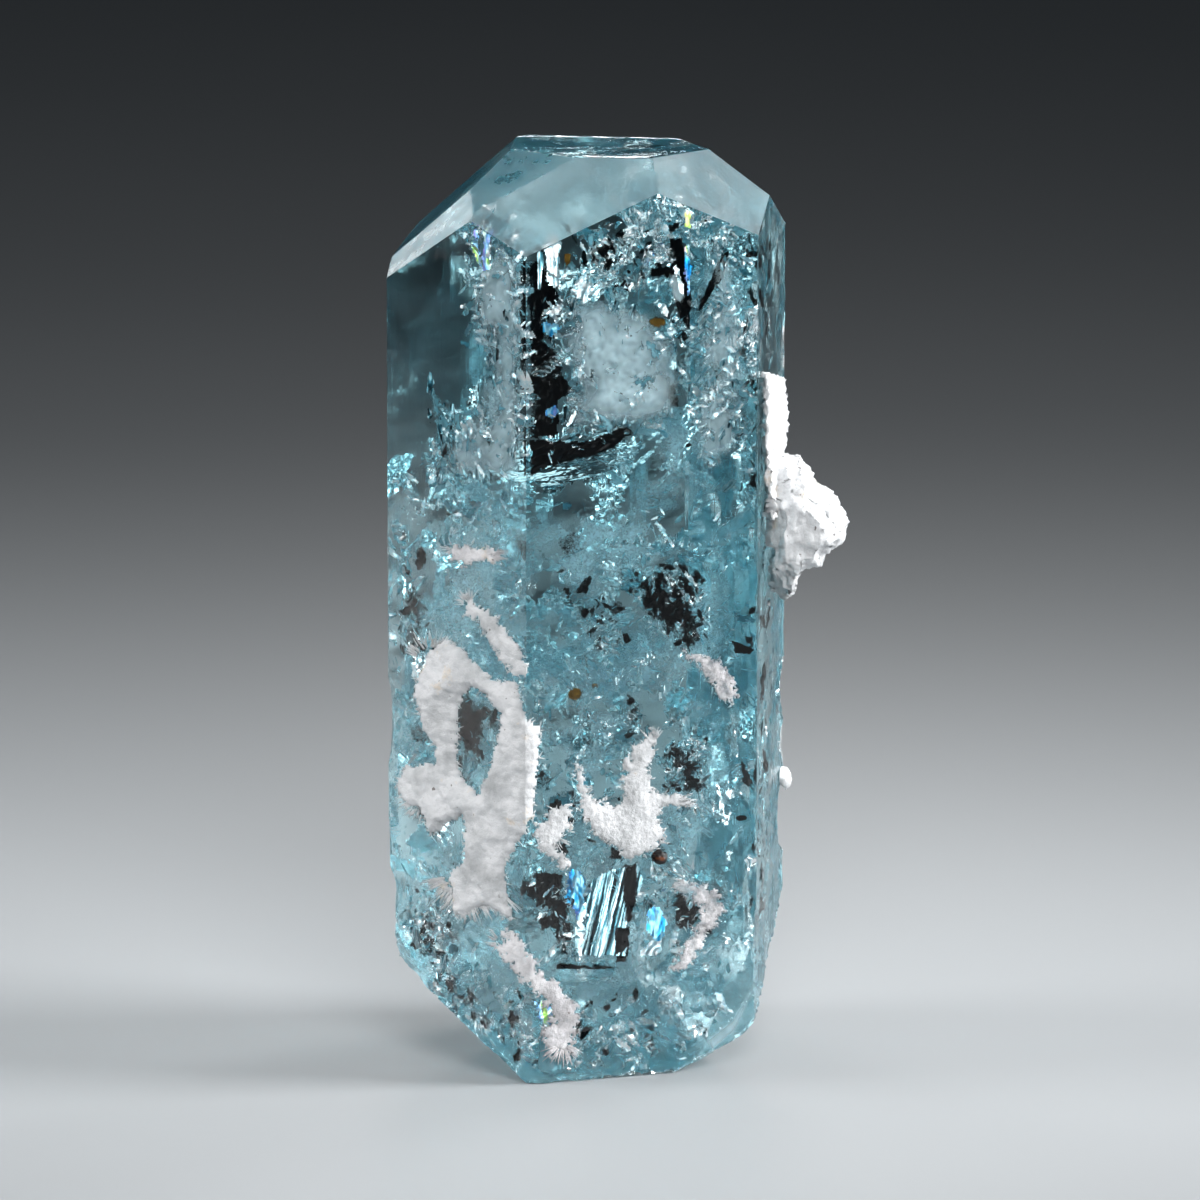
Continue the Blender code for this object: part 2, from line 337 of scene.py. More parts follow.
def make_albite(name, cover, *whites):
    """Albite, a white feldspar grown as a snow-like crust of tiny grains: soft white, mottled over
    3 mm, with cream stains 5 mm apart and a few dark specks. Its grains are drawn 0.28 mm wide, as
    real ones are too fine to show. Where the cover is low the stone shows through its thin spots,
    1.4 mm wide."""
    material, tree, crust, place = blank(name)
    cloud = node(tree, "TexNoise", Vector=place, Scale=330, Detail=6, Roughness=0.6).outputs["Fac"]
    base = node(tree, "ValToRGB", {"stops": whites}, Fac=cloud).outputs["Color"]
    stain = node(tree, "TexNoise", Vector=place, Scale=190, Detail=5, Roughness=0.7).outputs["Fac"]
    where = node(tree, "MapRange", Value=stain, From_Min=0.60, From_Max=0.72, To_Max=0.85)
    creamy = node(tree, "Mix", {"data_type": "RGBA"}, _0=where.outputs[0], _6=base,
                  _7=tint("#dcc9ae")).outputs[2]
    dots = node(tree, "TexNoise", Vector=place, Scale=1500, Detail=2, Roughness=0.4).outputs["Fac"]
    dark = node(tree, "MapRange", Value=dots, From_Min=0.735, From_Max=0.755, To_Max=0.8)
    speckled = node(tree, "Mix", {"data_type": "RGBA"}, _0=dark.outputs[0], _6=creamy,
                    _7=tint("#4a3f38")).outputs[2]
    grain = node(tree, "TexNoise", Vector=place, Scale=3600, Detail=4, Roughness=0.7).outputs["Fac"]
    bump = node(tree, "Bump", Height=grain, Distance=0.18 * MM, Strength=0.9)
    feed(tree, crust, Base_Color=speckled, Roughness=0.7, Subsurface_Weight=0.15,
         Subsurface_Radius=(1, 1, 1), Subsurface_Scale=0.0007, Normal=bump.outputs[0])
    if cover < 1:
        thin = node(tree, "TexNoise", Vector=place, Scale=700, Detail=5, Roughness=0.7)
        alpha = node(tree, "MapRange", Value=thin.outputs["Fac"], From_Min=0.36, From_Max=0.60,
                     To_Min=cover, To_Max=1.0).outputs[0]
        feed(tree, crust, Alpha=alpha)
    return material


def make_garnet():
    """A grain of brown garnet: dark, hard and bright on its small faces, 0.6 mm wide."""
    material, tree, grain, place = blank("brown garnet")
    cloud = node(tree, "TexNoise", Vector=place, Scale=1800, Detail=4).outputs["Fac"]
    stops = ((0.44, "#070302"), (0.58, "#150905"), (0.72, "#6b3a1c"))
    colour = node(tree, "ValToRGB", {"stops": stops}, Fac=cloud).outputs["Color"]
    feed(tree, grain, Base_Color=colour, Roughness=0.4, IOR=1.78, Specular_IOR_Level=0.25)
    return material


def make_floor():
    """Matt white card: pale and dull, its tone all but even over a third of a metre."""
    material, tree, card, place = blank("matt white card")
    cloud = node(tree, "TexNoise", Vector=place, Scale=3, Detail=2).outputs["Fac"]
    stops = ((0.3, "#a6aaad"), (0.7, "#acb0b3"))
    colour = node(tree, "ValToRGB", {"stops": stops}, Fac=cloud).outputs["Color"]
    feed(tree, card, Base_Color=colour, Roughness=0.5)
    return material


AQUAMARINE = make_aquamarine()
GAP = make_gap()
VEIL = make_veil()
SMOKY_PAINTED_SHADE = make_smoky_painted_shade()
DARK_PAINTED_SHADE = make_painted_shade_film()
PEARL = make_pearl_film()
STREAKED = make_streaked_film()
SILVER = make_silver_film()
FLAKE = make_flake()
HAZE = make_haze()
RAINBOW = make_rainbow()
AZURE = make_azure()
RUST = make_rust_stain()
BLACK = make_black_speck()
SNOW = ((0.32, "#a6a8aa"), (0.44, "#c0c2c4"), (0.58, "#d6d7d9"))
BRIGHT = ((0.30, "#b8babc"), (0.46, "#d0d2d4"), (0.62, "#e2e4e6"))
PINKISH = ((0.30, "#aaa8aa"), (0.44, "#c6c4c7"), (0.58, "#dedcde"))
ALBITE = make_albite("snowy white albite", 1, *SNOW)
THICK_ALBITE = make_albite("thick white albite", 1, *BRIGHT)
THIN_ALBITE = make_albite("thin granular albite", 0.75, *PINKISH)
FAINT_ALBITE = make_albite("faint albite dusting", 0.3, *PINKISH)
GARNET = make_garnet()


def piece_from(bm, name, material, replaces=None, stage=False):
    """Turn a mesh in millimetres into a piece in metres that rides on the specimen."""
    bmesh.ops.scale(bm, vec=(MM, MM, MM), verts=bm.verts)
    mesh = bpy.data.meshes.new(name)
    bm.to_mesh(mesh)
    bm.free()
    mesh.materials.append(material)
    piece = bpy.data.objects.new(name, mesh)
    scene.collection.objects.link(piece)
    if stage:
        return piece
    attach(piece, "root")
    if replaces:
        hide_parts(replaces)
    return piece


floor = bmesh.new()
bmesh.ops.create_circle(floor, cap_ends=True, segments=96, radius=3000)
piece_from(floor, "floor", make_floor(), stage=True)


# ---------------------------------------------------------------- the frame's own shapes, in mm

AHEAD = -60                     # y of a place well in front of the specimen
BACKWARDS = Vector((0, 1, 0))
FRONT_LEFT_EDGE = -5.5          # x where the front face ends and the left face starts
RIGHT_FACE = 80                 # azimuth of the narrow right face
CUT_SLACK = 0.0004              # a vertex this near a cut belongs to it


def node_mesh(name):
    """A merged copy of a CAD node, in millimetres."""
    bm = bmesh.new()
    bm.from_mesh(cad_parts[name].data)
    bmesh.ops.scale(bm, vec=(1 / MM, 1 / MM, 1 / MM), verts=bm.verts)
    bmesh.ops.remove_doubles(bm, verts=bm.verts, dist=0.001)
    return bm


def flatten(bm):
    """Join the triangles of each flat face."""
    bmesh.ops.dissolve_limit(bm, angle_limit=radians(0.6), verts=bm.verts, edges=bm.edges,
                             use_dissolve_boundaries=False, delimit=set())


def cut(bm, geometry, place, way):
    """Cut some geometry along a plane."""
    bmesh.ops.bisect_plane(bm, geom=geometry, dist=CUT_SLACK, plane_co=place, plane_no=way)


def whole(bm):
    """All geometry of a mesh."""
    return bm.verts[:] + bm.edges[:] + bm.faces[:]


def with_rims(faces):
    """Some faces, their edges and their vertices."""
    edges = {edge for face in faces for edge in face.edges}
    return faces + list(edges) + list({vertex for face in faces for vertex in face.verts})


def drop_loose(bm):
    """Delete the vertices that no face uses."""
    loose = [vertex for vertex in bm.verts if not vertex.link_faces]
    bmesh.ops.delete(bm, geom=loose, context="VERTS")


crystal_source = node_mesh("aquamarine_crystal")
CRYSTAL = BVHTree.FromBMesh(crystal_source)


def met_from_front(shape, x, z):
    """Where a line from the front meets a shape and the outward way there; None if it misses."""
    hit, normal, _, _ = shape.ray_cast(Vector((x, AHEAD, z)), BACKWARDS)
    return hit, normal


def depth_at(place):
    """How far a place lies under the crystal's surface; less than nothing outside it."""
    near, normal, _, away = CRYSTAL.find_nearest(place)
    return away if (place - near).dot(normal) < 0 else -away


# ---------------------------------------------------------------- the crystal

def smooth_step(low, high, value):
    """0 below a span, 1 above it, and an eased rise within it."""
    share = min(max((value - low) / (high - low), 0), 1)
    return share * share * (3 - 2 * share)


def outwards(azimuth, rise=0):
    """The unit vector that points to an azimuth, 0 towards the front, and up by a rise."""
    a, r = radians(azimuth), radians(rise)
    return Vector((sin(a) * cos(r), -cos(a) * cos(r), sin(r)))


def azimuth_is(normal, azimuth):
    """Whether a face looks to an azimuth, give or take 10 degrees. Level faces look nowhere."""
    flat = Vector((normal.x, normal.y, 0))
    return flat.length >= 0.3 and flat.normalized().dot(outwards(azimuth)) > 0.985


def etching(place, normal):
    """How strongly a spot of the surface is etched, from 0 to 1: the worn foot, the back and the
    narrow right face most, the bevel faces and the clear window at the upper left hardly."""
    low = 1 - smooth_step(8, 24, place.z)
    back = smooth_step(0.0, 0.5, normal.y) * 0.8
    patchy = smooth_step(-0.15, 0.35, noise.noise(place * 0.16 + Vector((3.1, 0, 7.7))))
    amount = max(low * 0.8, back * (0.35 + 0.65 * patchy))
    if azimuth_is(normal, RIGHT_FACE):
        amount = max(amount, 0.35 + 0.4 * (1 - smooth_step(45, 72, place.z)))
    if normal.z > 0.3 and place.z > 60:
        amount = 0.0
    if place.x < 2 and place.z > 56:
        amount *= 0.15
    return min(amount, 1)


def make_crystal():
    """The crystal cut into a fine grid, finest at its worn foot, which is rounded; then pits, waves
    and growth steps move the grid inwards."""
    bm = crystal_source.copy()
    flatten(bm)
    worn_top, half = 23, 19.7
    # level cuts, closer together over the worn foot
    levels = [0.4 + 0.36 * number for number in range(64)]
    levels += [levels[-1] + 0.6 * number for number in range(1, 110)]
    for level in levels:
        cut(bm, whole(bm), (0, 0, level), UP)
    for worn, pace in ((True, 0.38), (False, 0.62)):
        for way in (Vector((1, 0, 0)), BACKWARDS):
            for number in range(int(40 / pace)):
                faces = [f for f in bm.faces if (f.calc_center_median().z < worn_top) == worn]
                cut(bm, with_rims(faces), way * (number * pace - half), way)
    foot = [v for v in bm.verts if 0.6 < v.co.z < worn_top + 1]
    for _ in range(7):
        bmesh.ops.smooth_vert(bm, verts=foot, factor=0.5, use_axis_x=True, use_axis_y=True,
                              use_axis_z=True)
    # extra cuts for the narrow right face, which is met at a slant
    right = with_rims([face for face in bm.faces if azimuth_is(face.normal, RIGHT_FACE)
                       and worn_top < face.calc_center_median().z < 80])
    for number in range(40):
        cut(bm, [item for item in right if item.is_valid], (0, 0.31 * number - 9.9, 0), BACKWARDS)
    bm.normal_update()
    moves = []
    for vertex in bm.verts:
        normals = [face.normal for face in vertex.link_faces]
        place = vertex.co
        amount = min(etching(place, normal) for normal in normals)
        hem = min(normals[0].dot(normal) for normal in normals)
        coarse = noise.hetero_terrain(place * 0.35, 0.8, 2.1, 4, 0.6)
        fine = noise.turbulence(place * 1.1 + Vector((5, 1, 2)), 3, True)
        pit = max(0.0, noise.noise(place * 1.7) - 0.1)
        relief = amount * (0.22 * min(max(coarse, 0), 1.6) + 0.34 * fine + 0.30 * pit)
        calm = 0.012 * (1 + noise.noise(place * 0.3))
        # the top face is slightly hollow, with waves that run from left to right
        if place.z > 87.9 and min(normal.z for normal in normals) > 0.97:
            calm += 0.0011 * place.y ** 2
            calm += 0.03 * noise.noise(Vector((place.x * 0.12, place.y * 0.7, 3)))
            calm += 0.02 * noise.noise(Vector((place.x * 0.3, place.y * 1.3, 8)))
        edge = 0.5 if hem < 0.9 else 1
        moves.append(vertex.normal * -(relief * edge + calm))
    for vertex, move in zip(bm.verts, moves):
        vertex.co += move
    return bm


crystal = piece_from(make_crystal(), "aquamarine_body", AQUAMARINE,
                     "aquamarine_crystal")
mesh = crystal.data
mesh.shade_smooth()
mesh.set_sharp_from_angle(angle=radians(16))

# roughness of the bevel faces, by azimuth
BEVEL_FROST = ((-10, 0.50), (-43, 0.34), (-70, 0.30), (-93, 0.06), (20, 0.34), (50, 0.50))
BEVEL_ETCH = 0.3


def frost_of(place, normal):
    """Roughness of one face: place in mm, normal pointing out."""
    if normal.z > 0.97 and place.z > 80:
        return 0.03
    if normal.z > 0.3 and place.z > 60:
        for azimuth, value in BEVEL_FROST:
            if azimuth_is(normal, azimuth):
                return value
        return 0.35
    return 0.02 + 0.04 * etching(place, normal) + 0.05 * smooth_step(0, 0.5, normal.y)


frost = mesh.attributes.new("frost", "FLOAT", "FACE")
etch = mesh.attributes.new("etch", "FLOAT", "FACE")
for number, polygon in enumerate(mesh.polygons):
    place = polygon.center / MM
    bevel = place.z > 60 and 0.3 < polygon.normal.z < 0.97
    frost.data[number].value = frost_of(place, polygon.normal)
    etch.data[number].value = BEVEL_ETCH if bevel else 0.9 * etching(place, polygon.normal)


# ---------------------------------------------------------------- places inside the crystal

LOOK_DOWN = radians(10.2)       # a viewer ahead looks down at the crystal by this much
SHELL, FILM = 0.05, 0.02        # thickness of a hollow crack and of a film, in mm


def beneath(x, z, depth):
    """A place at a depth under the front faces, along the bent ray that meets them at x and z,
    and the way that ray goes."""
    hit, normal = met_from_front(CRYSTAL, x, z)
    if hit is None:
        return None, None
    ray = Vector((0, cos(LOOK_DOWN), -sin(LOOK_DOWN)))
    slope = ray.dot(normal)
    bent = sqrt(1 - (1 - slope * slope) / BERYL_IOR ** 2)
    inside = (ray - normal * slope) / BERYL_IOR - normal * bent
    return hit + inside * (depth / inside.y), inside


def facing_to(inside, goal):
    """The way a sheet has to face to throw a ray inside the crystal towards a goal."""
    return (Vector(goal).normalized() - inside).normalized()


def stripe_at(along, across, streak, key):
    """How light a film is at a spot, from 0 to 1: drawn out along its streaks."""
    wide = noise.noise(Vector((along * 0.5 / streak, across * 1.1, 0)) + key)
    fine = noise.noise(Vector((along * 1.3 / streak, across * 3.1, 0)) - key)
    return 0.5 + 0.45 * wide + 0.65 * fine


def film_grid(long, wide, pace, fewest):
    """A flat, centred grid whose vertices carry the fade and the stripe of a film."""
    part = bmesh.new()
    part.verts.layers.float.new("fade")
    part.verts.layers.float.new("stripe")
    bmesh.ops.create_grid(part, x_segments=max(int(long / pace), fewest),
                          y_segments=max(int(wide / pace), fewest), size=0.5)
    bmesh.ops.scale(part, vec=(long, wide, 1), verts=part.verts)
    return part


def sheet_of(rng, centre, facing, long, wide, roll, pace, shape, ragged=1.0, margin=0.3):
    """A ragged sheet inside the crystal, all of it at least a margin deep: shape(spot, key) says
    how far each spot of it moves."""
    part = film_grid(long, wide, pace, 4)
    key = Vector((rng.uniform(0, 90), rng.uniform(0, 90), rng.uniform(0, 90)))

    def reach(spot):
        round_reach = sqrt((2 * spot.x / long) ** 2 + (2 * spot.y / wide) ** 2)
        notch = 0.34 * noise.noise(spot * (3.2 / wide) + key) + 0.20 * noise.noise(spot * 1.9 + key)
        return round_reach + notch * ragged

    lost = [face for face in part.faces if reach(face.calc_center_median()) > 0.9]
    bmesh.ops.delete(part, geom=lost, context="FACES")
    fade = part.verts.layers.float["fade"]
    stripe = part.verts.layers.float["stripe"]
    for vertex in part.verts:
        vertex[fade] = 1 - smooth_step(0.25, 0.9, reach(vertex.co))
        vertex[stripe] = stripe_at(vertex.co.x, vertex.co.y, 3, key)
        vertex.co += shape(vertex.co.copy(), key)
    turn = facing.to_track_quat("Z", "Y").to_matrix().to_4x4() @ Matrix.Rotation(roll, 4, "Z")
    bmesh.ops.transform(part, matrix=Matrix.Translation(centre) @ turn, verts=part.verts)
    lost = [vertex for vertex in part.verts if depth_at(vertex.co) < margin]
    bmesh.ops.delete(part, geom=lost, context="VERTS")
    drop_loose(part)
    return part


def thicken(part, thickness):
    """Close a sheet into a thin shell, and pull back corners that a tight fold throws out."""
    longest_spike = 1.2
    bmesh.ops.solidify(part, geom=part.faces[:], thickness=thickness)
    for vertex in part.verts:
        around = [edge.other_vert(vertex).co for edge in vertex.link_edges]
        middle = sum(around, Vector()) / len(around)
        if (vertex.co - middle).length > longest_spike:
            vertex.co = middle
    bmesh.ops.recalc_face_normals(part, faces=part.faces[:])


def join(bm, part):
    """Add one mesh to another."""
    holder = bpy.data.meshes.new("holder")
    part.to_mesh(holder)
    part.free()
    bm.from_mesh(holder)
    bpy.data.meshes.remove(holder)


# ---------------------------------------------------------------- sealed cracks

# each kind of crack: the name of its piece, and its material; the dark and smoky kinds are sheets of
# painted shade
KINDS = {"upper": ("sealed_cracks_upper", GAP), "middle": ("sealed_cracks_middle", GAP),
         "lower": ("sealed_cracks_lower", GAP), "dark": ("painted_shade_crack_films", DARK_PAINTED_SHADE),
         "smoky": ("smoky_painted_shade_films", SMOKY_PAINTED_SHADE), "pearl": ("pearly_crack_films", PEARL),
         "lines": ("white_crack_lines", PEARL), "streaked": ("streaked_crack_films", STREAKED),
         "silver": ("silvery_crack_films", SILVER), "flake": ("silver_flakes", FLAKE),
         "haze": ("milky_haze", HAZE), "rainbow": ("rainbow_slivers", RAINBOW),
         "azure": ("azure_slivers", AZURE), "stain": ("limonite_stains", RUST),
         "speck": ("ilmenite_specks", BLACK)}
HOLLOW = ("upper", "middle", "lower")
CRACKS = {kind: bmesh.new() for kind in KINDS}


def enclose(part, kind):
    """Close a sheet, into a film or into a gap whose faces point into it, and add it to its kind."""
    thicken(part, SHELL if kind in HOLLOW else FILM)
    if kind in HOLLOW:
        bmesh.ops.reverse_faces(part, faces=part.faces[:])
    join(CRACKS[kind], part)


def crack(rng, centre, facing, long, wide, roll, crumple, streak, pace=0.26, kind=None, rings=0,
          ragged=1.0, margin=0.3):
    """Add one crumpled crack: clean and sealed, or of the kind named. The streak is how far its
    folds are drawn out along it, and rings is how many ridges it has per 2 pi mm."""

    def folds(spot, key):
        bend = 0.10 * long * noise.noise(spot * (1.2 / long) + key)
        along = Vector((spot.x * 1.1 / streak, spot.y * 1.1, 0))
        fold = noise.turbulence(along + key, 3, True) - 0.5
        fold += 0.30 * noise.noise(Vector((spot.x * 3.0 / streak, spot.y * 3.0, 0)) - key)
        if rings:
            fold += 0.5 * sin(rings * (spot + Vector((0.4 * long, 0.5 * wide, 0))).length)
        return Vector((0.25 * crumple * noise.noise(along + key * 2), 0, bend + crumple * fold))

    part = sheet_of(rng, centre, facing, long, wide, roll, pace, folds, ragged, margin)
    if not part.faces:
        part.free()
        return
    kind = kind or ("upper" if centre.z > 55 else "middle" if centre.z > 28 else "lower")
    enclose(part, kind)


def in_clear_part(spot):
    """Whether a place lies in one of the clear parts of the crystal, which hold no cracks."""
    left = spot.x - 0.29 * (spot.y + 12) < -12.0 + 0.5 * noise.noise(spot * 0.5) and spot.z > 59
    strip = -6.2 < spot.x + 0.13 * (spot.y + 17) < -3.0 and 57 < spot.z < 79 and spot.y < 6
    return left or strip


def fill(seed, count, low, high, sizes, crumples, rises, pace):
    """Scatter cracks through a box of the crystal."""
    rng = Random(seed)
    placed = 0
    while placed < count:
        spot = Vector([rng.uniform(low[i], high[i]) for i in range(3)])
        draws = [rng.random() for _ in range(8)]
        if depth_at(spot) < 0.8 or in_clear_part(spot):
            continue
        placed += 1
        size = sizes[0] + (sizes[1] - sizes[0]) * draws[0] ** 1.6
        facing = outwards(360 * draws[1], rises[0] + (rises[1] - rises[0]) * draws[2])
        crumple = crumples[0] + (crumples[1] - crumples[0]) * draws[3]
        crack(rng, spot, facing, size, size * (0.35 + 0.5 * draws[4]), pi * draws[5], crumple,
              1 + 2.5 * draws[6], pace)


# seed, how many, the box they lie in, sizes, crumples, rises, pace
fill(5, 70, (-18, -17, 56), (18, 17, 84), (2.0, 8.0), (0.25, 0.8), (-50, 60), 0.26)
fill(9, 100, (-18, -17, 28), (18, 17, 58), (2.0, 8.0), (0.25, 0.8), (-50, 50), 0.26)
fill(13, 100, (-18, -17, 3), (18, 17, 30), (2.0, 8.0), (0.25, 0.8), (-50, 50), 0.26)
fill(21, 70, (-6, -17, 30), (16, -8, 46), (1.2, 3.6), (0.15, 0.5), (-40, 40), 0.2)
fill(22, 50, (-18, -15, 24), (-6, -2, 58), (1.2, 3.6), (0.15, 0.5), (-40, 40), 0.2)
fill(23, 50, (2, -15, 66), (17, -4, 83), (1.2, 4.0), (0.15, 0.5), (-40, 40), 0.2)
fill(24, 60, (-16, -17, 3), (16, -6, 24), (1.2, 4.0), (0.15, 0.5), (-40, 40), 0.2)


def inside_outline(outline, x, z):
    """Whether a spot lies in an outline, and how far it is from its rim."""
    within = False
    near = 99.0
    spot = Vector((x, z))
    for (ax, az), (bx, bz) in zip(outline, outline[1:] + outline[:1]):
        if (az > z) != (bz > z) and x < (bx - ax) * (z - az) / (bz - az) + ax:
            within = not within
        start = Vector((ax, az))
        edge = Vector((bx, bz)) - start
        share = min(max((spot - start).dot(edge) / max(edge.length_squared, 1e-9), 0), 1)
        near = min(near, (spot - start - edge * share).length)
    return within, near


def marked(kind, strength, depth, crumple, flow, streak, outline, pace=0.17, hem=0.9, wobble=0.7,
           tilt=0):
    """A film, haze or crack whose outline is given as it is met from the front, at a depth. It
    fades over a hem, its rim wobbles, and a tilt of 1 turns it to mirror the front light."""
    key = Vector((outline[0][0] * 3.7, outline[0][1] * 1.3, depth * 9.1))
    room = 0.4
    low = Vector((min(x for x, _ in outline) - room, min(z for _, z in outline) - room, 0))
    high = Vector((max(x for x, _ in outline) + room, max(z for _, z in outline) + room, 0))
    size = high - low
    part = film_grid(size.x, size.y, pace, 3)
    bmesh.ops.translate(part, vec=(low + high) / 2, verts=part.verts)
    lost = []
    for face in part.faces:
        spot = face.calc_center_median()
        shift = Vector((0, 0, 0))
        for share, scale in ((1, 1.2), (0.6, 3.1), (0.3, 7.3)):
            sway = Vector((noise.noise(spot * scale + key), noise.noise(spot * scale - key), 0))
            shift += share * wobble * sway
        within, _ = inside_outline(outline, spot.x + shift.x, spot.y + shift.y)
        if not within:
            lost.append(face)
    bmesh.ops.delete(part, geom=lost, context="FACES")
    fade = part.verts.layers.float["fade"]
    stripe = part.verts.layers.float["stripe"]
    turn = radians(flow)
    missed = []
    for vertex in part.verts:
        x, z = vertex.co.x, vertex.co.y
        along = x * cos(turn) + z * sin(turn)
        across = -x * sin(turn) + z * cos(turn)
        within, near = inside_outline(outline, x, z)
        vertex[fade] = strength * (smooth_step(0, hem, near) if within else 0)
        vertex[stripe] = stripe_at(along, across * (2 if kind == "silver" else 1), streak, key)
        drawn = Vector((along * 1.1 / streak, across * 1.3, 0))
        fold = noise.turbulence(drawn + key, 3, True) - 0.5 + 0.3 * noise.noise(drawn * 2.7 - key)
        # with a tilt of 1, these slopes turn the sheet under each face to the front light
        slope = 0.59 if x < FRONT_LEFT_EDGE else -0.19
        lean = (x - size.x / 2 - low.x) * slope + 0.24 * (z - size.y / 2 - low.y)
        place, _ = beneath(x, z, max(depth + crumple * fold + tilt * lean, 0.25))
        if place is None or depth_at(place) < 0.12:
            missed.append(vertex)
        else:
            vertex.co = place
    bmesh.ops.delete(part, geom=missed, context="VERTS")
    drop_loose(part)
    enclose(part, kind)


# outlines on the front faces, x and z in mm
DARK_STRIP = [(-5.6, 79.3), (-5.1, 79.9), (-4.0, 79.6), (-2.9, 77.9), (-2.4, 75.9), (-3.3, 73.9),
              (-4.0, 72.0), (-3.5, 70.7), (-2.1, 68.7), (-1.2, 66.7), (-2.6, 65.9), (-2.4, 63.2),
              (-2.9, 62.3), (-5.6, 62.4)]
WEDGE = [(-5.6, 62.8), (-2.9, 62.3), (0.3, 62.3), (3.6, 63.4), (5.0, 62.5), (1.6, 60.6),
         (-2.6, 59.7), (-5.6, 58.7)]
RINGED = [(-5.4, 72.1), (-4.4, 72.4), (-2.9, 71.2), (-2.0, 69.6), (-2.4, 67.6), (-3.7, 66.9),
          (-5.3, 67.7)]
MILKY = [(-2.0, 75.5), (1.2, 75.7), (5.9, 74.0), (8.0, 71.7), (9.2, 67.3), (8.4, 63.7),
         (5.0, 62.9), (1.2, 63.4), (-1.8, 63.1), (-2.4, 65.8), (-1.0, 66.9), (-2.6, 71.3)]
EDGE_VEIL = [(-9.9, 78.8), (-8.2, 80.2), (-6.0, 79.9), (-6.0, 59.4), (-8.2, 58.1), (-11.1, 58.4),
             (-14.0, 57.5), (-13.3, 60.9), (-11.1, 63.6), (-9.4, 66.7), (-9.5, 70.5),
             (-10.7, 72.7), (-11.1, 75.1), (-10.5, 77.1)]
TOP_VEIL = [(-12.8, 82.3), (-10.1, 84.0), (-6.7, 83.0), (-6.3, 80.4), (-8.2, 79.1), (-10.3, 78.8),
            (-11.4, 80.8)]
FLAME = [(-15.6, 68.8), (-15.1, 66.7), (-13.4, 65.4), (-12.4, 63.4), (-11.9, 58.7), (-14.9, 57.5),
         (-14.7, 62.2), (-15.2, 65.0)]
LEFT_BLADE = [(7.6, 81.1), (9.1, 81.0), (9.5, 77.8), (10.1, 74.9), (9.7, 72.0), (8.6, 73.2),
              (7.8, 76.4)]
RIGHT_BLADE = [(13.4, 80.0), (14.0, 80.4), (12.9, 76.8), (11.2, 74.4), (9.9, 72.4), (10.7, 75.2),
               (12.2, 78.4)]
FAN = [(1.3, 20.3), (2.4, 20.7), (5.0, 21.0), (5.5, 19.3), (5.0, 17.3), (4.1, 15.0), (3.9, 11.6),
       (0.6, 12.1), (-1.0, 12.0), (-0.9, 13.4), (-0.5, 17.3), (-0.9, 18.6)]
MID_DARK = [(4.0, 48.7), (6.9, 50.0), (11.2, 48.4), (11.4, 42.1), (9.8, 40.3), (7.3, 42.6),
            (4.4, 45.4)]
ARCH_HOLE = [(-13.3, 37.0), (-11.1, 38.2), (-8.8, 36.0), (-9.4, 31.0), (-11.9, 28.2),
             (-13.2, 32.5)]
LEFT_DARK = [(-18.0, 49.6), (-17.0, 48.3), (-14.6, 43.8), (-15.6, 40.0), (-17.8, 38.9)]
RIGHT_DARK = [(7.5, 32.3), (11.0, 32.3), (11.5, 27.2), (9.8, 26.8), (7.7, 27.0), (7.0, 28.6)]
RIGHT_CLOUD = [(11.5, 81.0), (13.8, 78.0), (14.6, 70.0), (14.6, 60.0), (10.5, 59.0), (10.0, 64.0),
               (10.6, 70.0), (11.8, 75.0)]
FOOT = [(-10.4, 7.4), (-4.5, 9.8), (3.1, 8.7), (10.8, 7.6), (13.6, 5.9), (9.4, 2.7), (4.6, 0.6),
        (-4.5, 1.0), (-7.9, 3.5)]
LOW_LEFT = [(-17.4, 18.0), (-15.0, 16.4), (-13.6, 10.8), (-10.4, 7.0), (-7.4, 4.3), (-10.3, 4.5),
            (-14.6, 7.5), (-17.0, 11.6)]


def oval(x, z, wide, high):
    """A small round outline."""
    return [(x + wide * cos(t * pi / 4), z + high * sin(t * pi / 4)) for t in range(8)]


def mirror_way(x, turn, rise):
    """The way a flake faces to mirror the front light, give or take 22 degrees."""
    azimuth = 10 if x > FRONT_LEFT_EDGE else -14
    return outwards(azimuth + 44 * turn - 22, 13.6 + 44 * rise - 22)


def sprinkle(rng, outline, amount, sizes, depths, kinds):
    """Fill an outline, as it is met from the front, with small cracks of some kinds; None is a
    clean one."""
    xs = [x for x, _ in outline]
    zs = [z for _, z in outline]
    placed = 0
    while placed < amount:
        x, z = rng.uniform(min(xs), max(xs)), rng.uniform(min(zs), max(zs))
        draws = [rng.random() for _ in range(8)]
        if not inside_outline(outline, x, z)[0]:
            continue
        placed += 1
        place, _ = beneath(x, z, depths[0] + (depths[1] - depths[0]) * draws[0])
        if place is None or depth_at(place) < 0.25:
            continue
        size = sizes[0] + (sizes[1] - sizes[0]) * draws[1] ** 1.6
        kind = kinds[int(draws[7] * len(kinds))]
        lean = outwards(150 * draws[2] - 75, 100 * draws[3] - 50)
        if kind in ("flake", "silver"):
            lean = mirror_way(x, draws[2], draws[3])
        if kind == "silver":
            draws[5] = 0.4 + 0.2 * draws[5]
        shares = {"lines": 0.12, "flake": 0.14 + 0.26 * draws[4], "silver": 0.3 + 0.2 * draws[4]}
        wide = size * shares.get(kind, 0.4 + 0.4 * draws[4])
        crack(rng, place, lean, size, wide, pi * draws[5], 0.35, 1 + 2 * draws[6], 0.14, kind,
              ragged=1.5 if kind == "flake" else 1.0, margin=0.15)
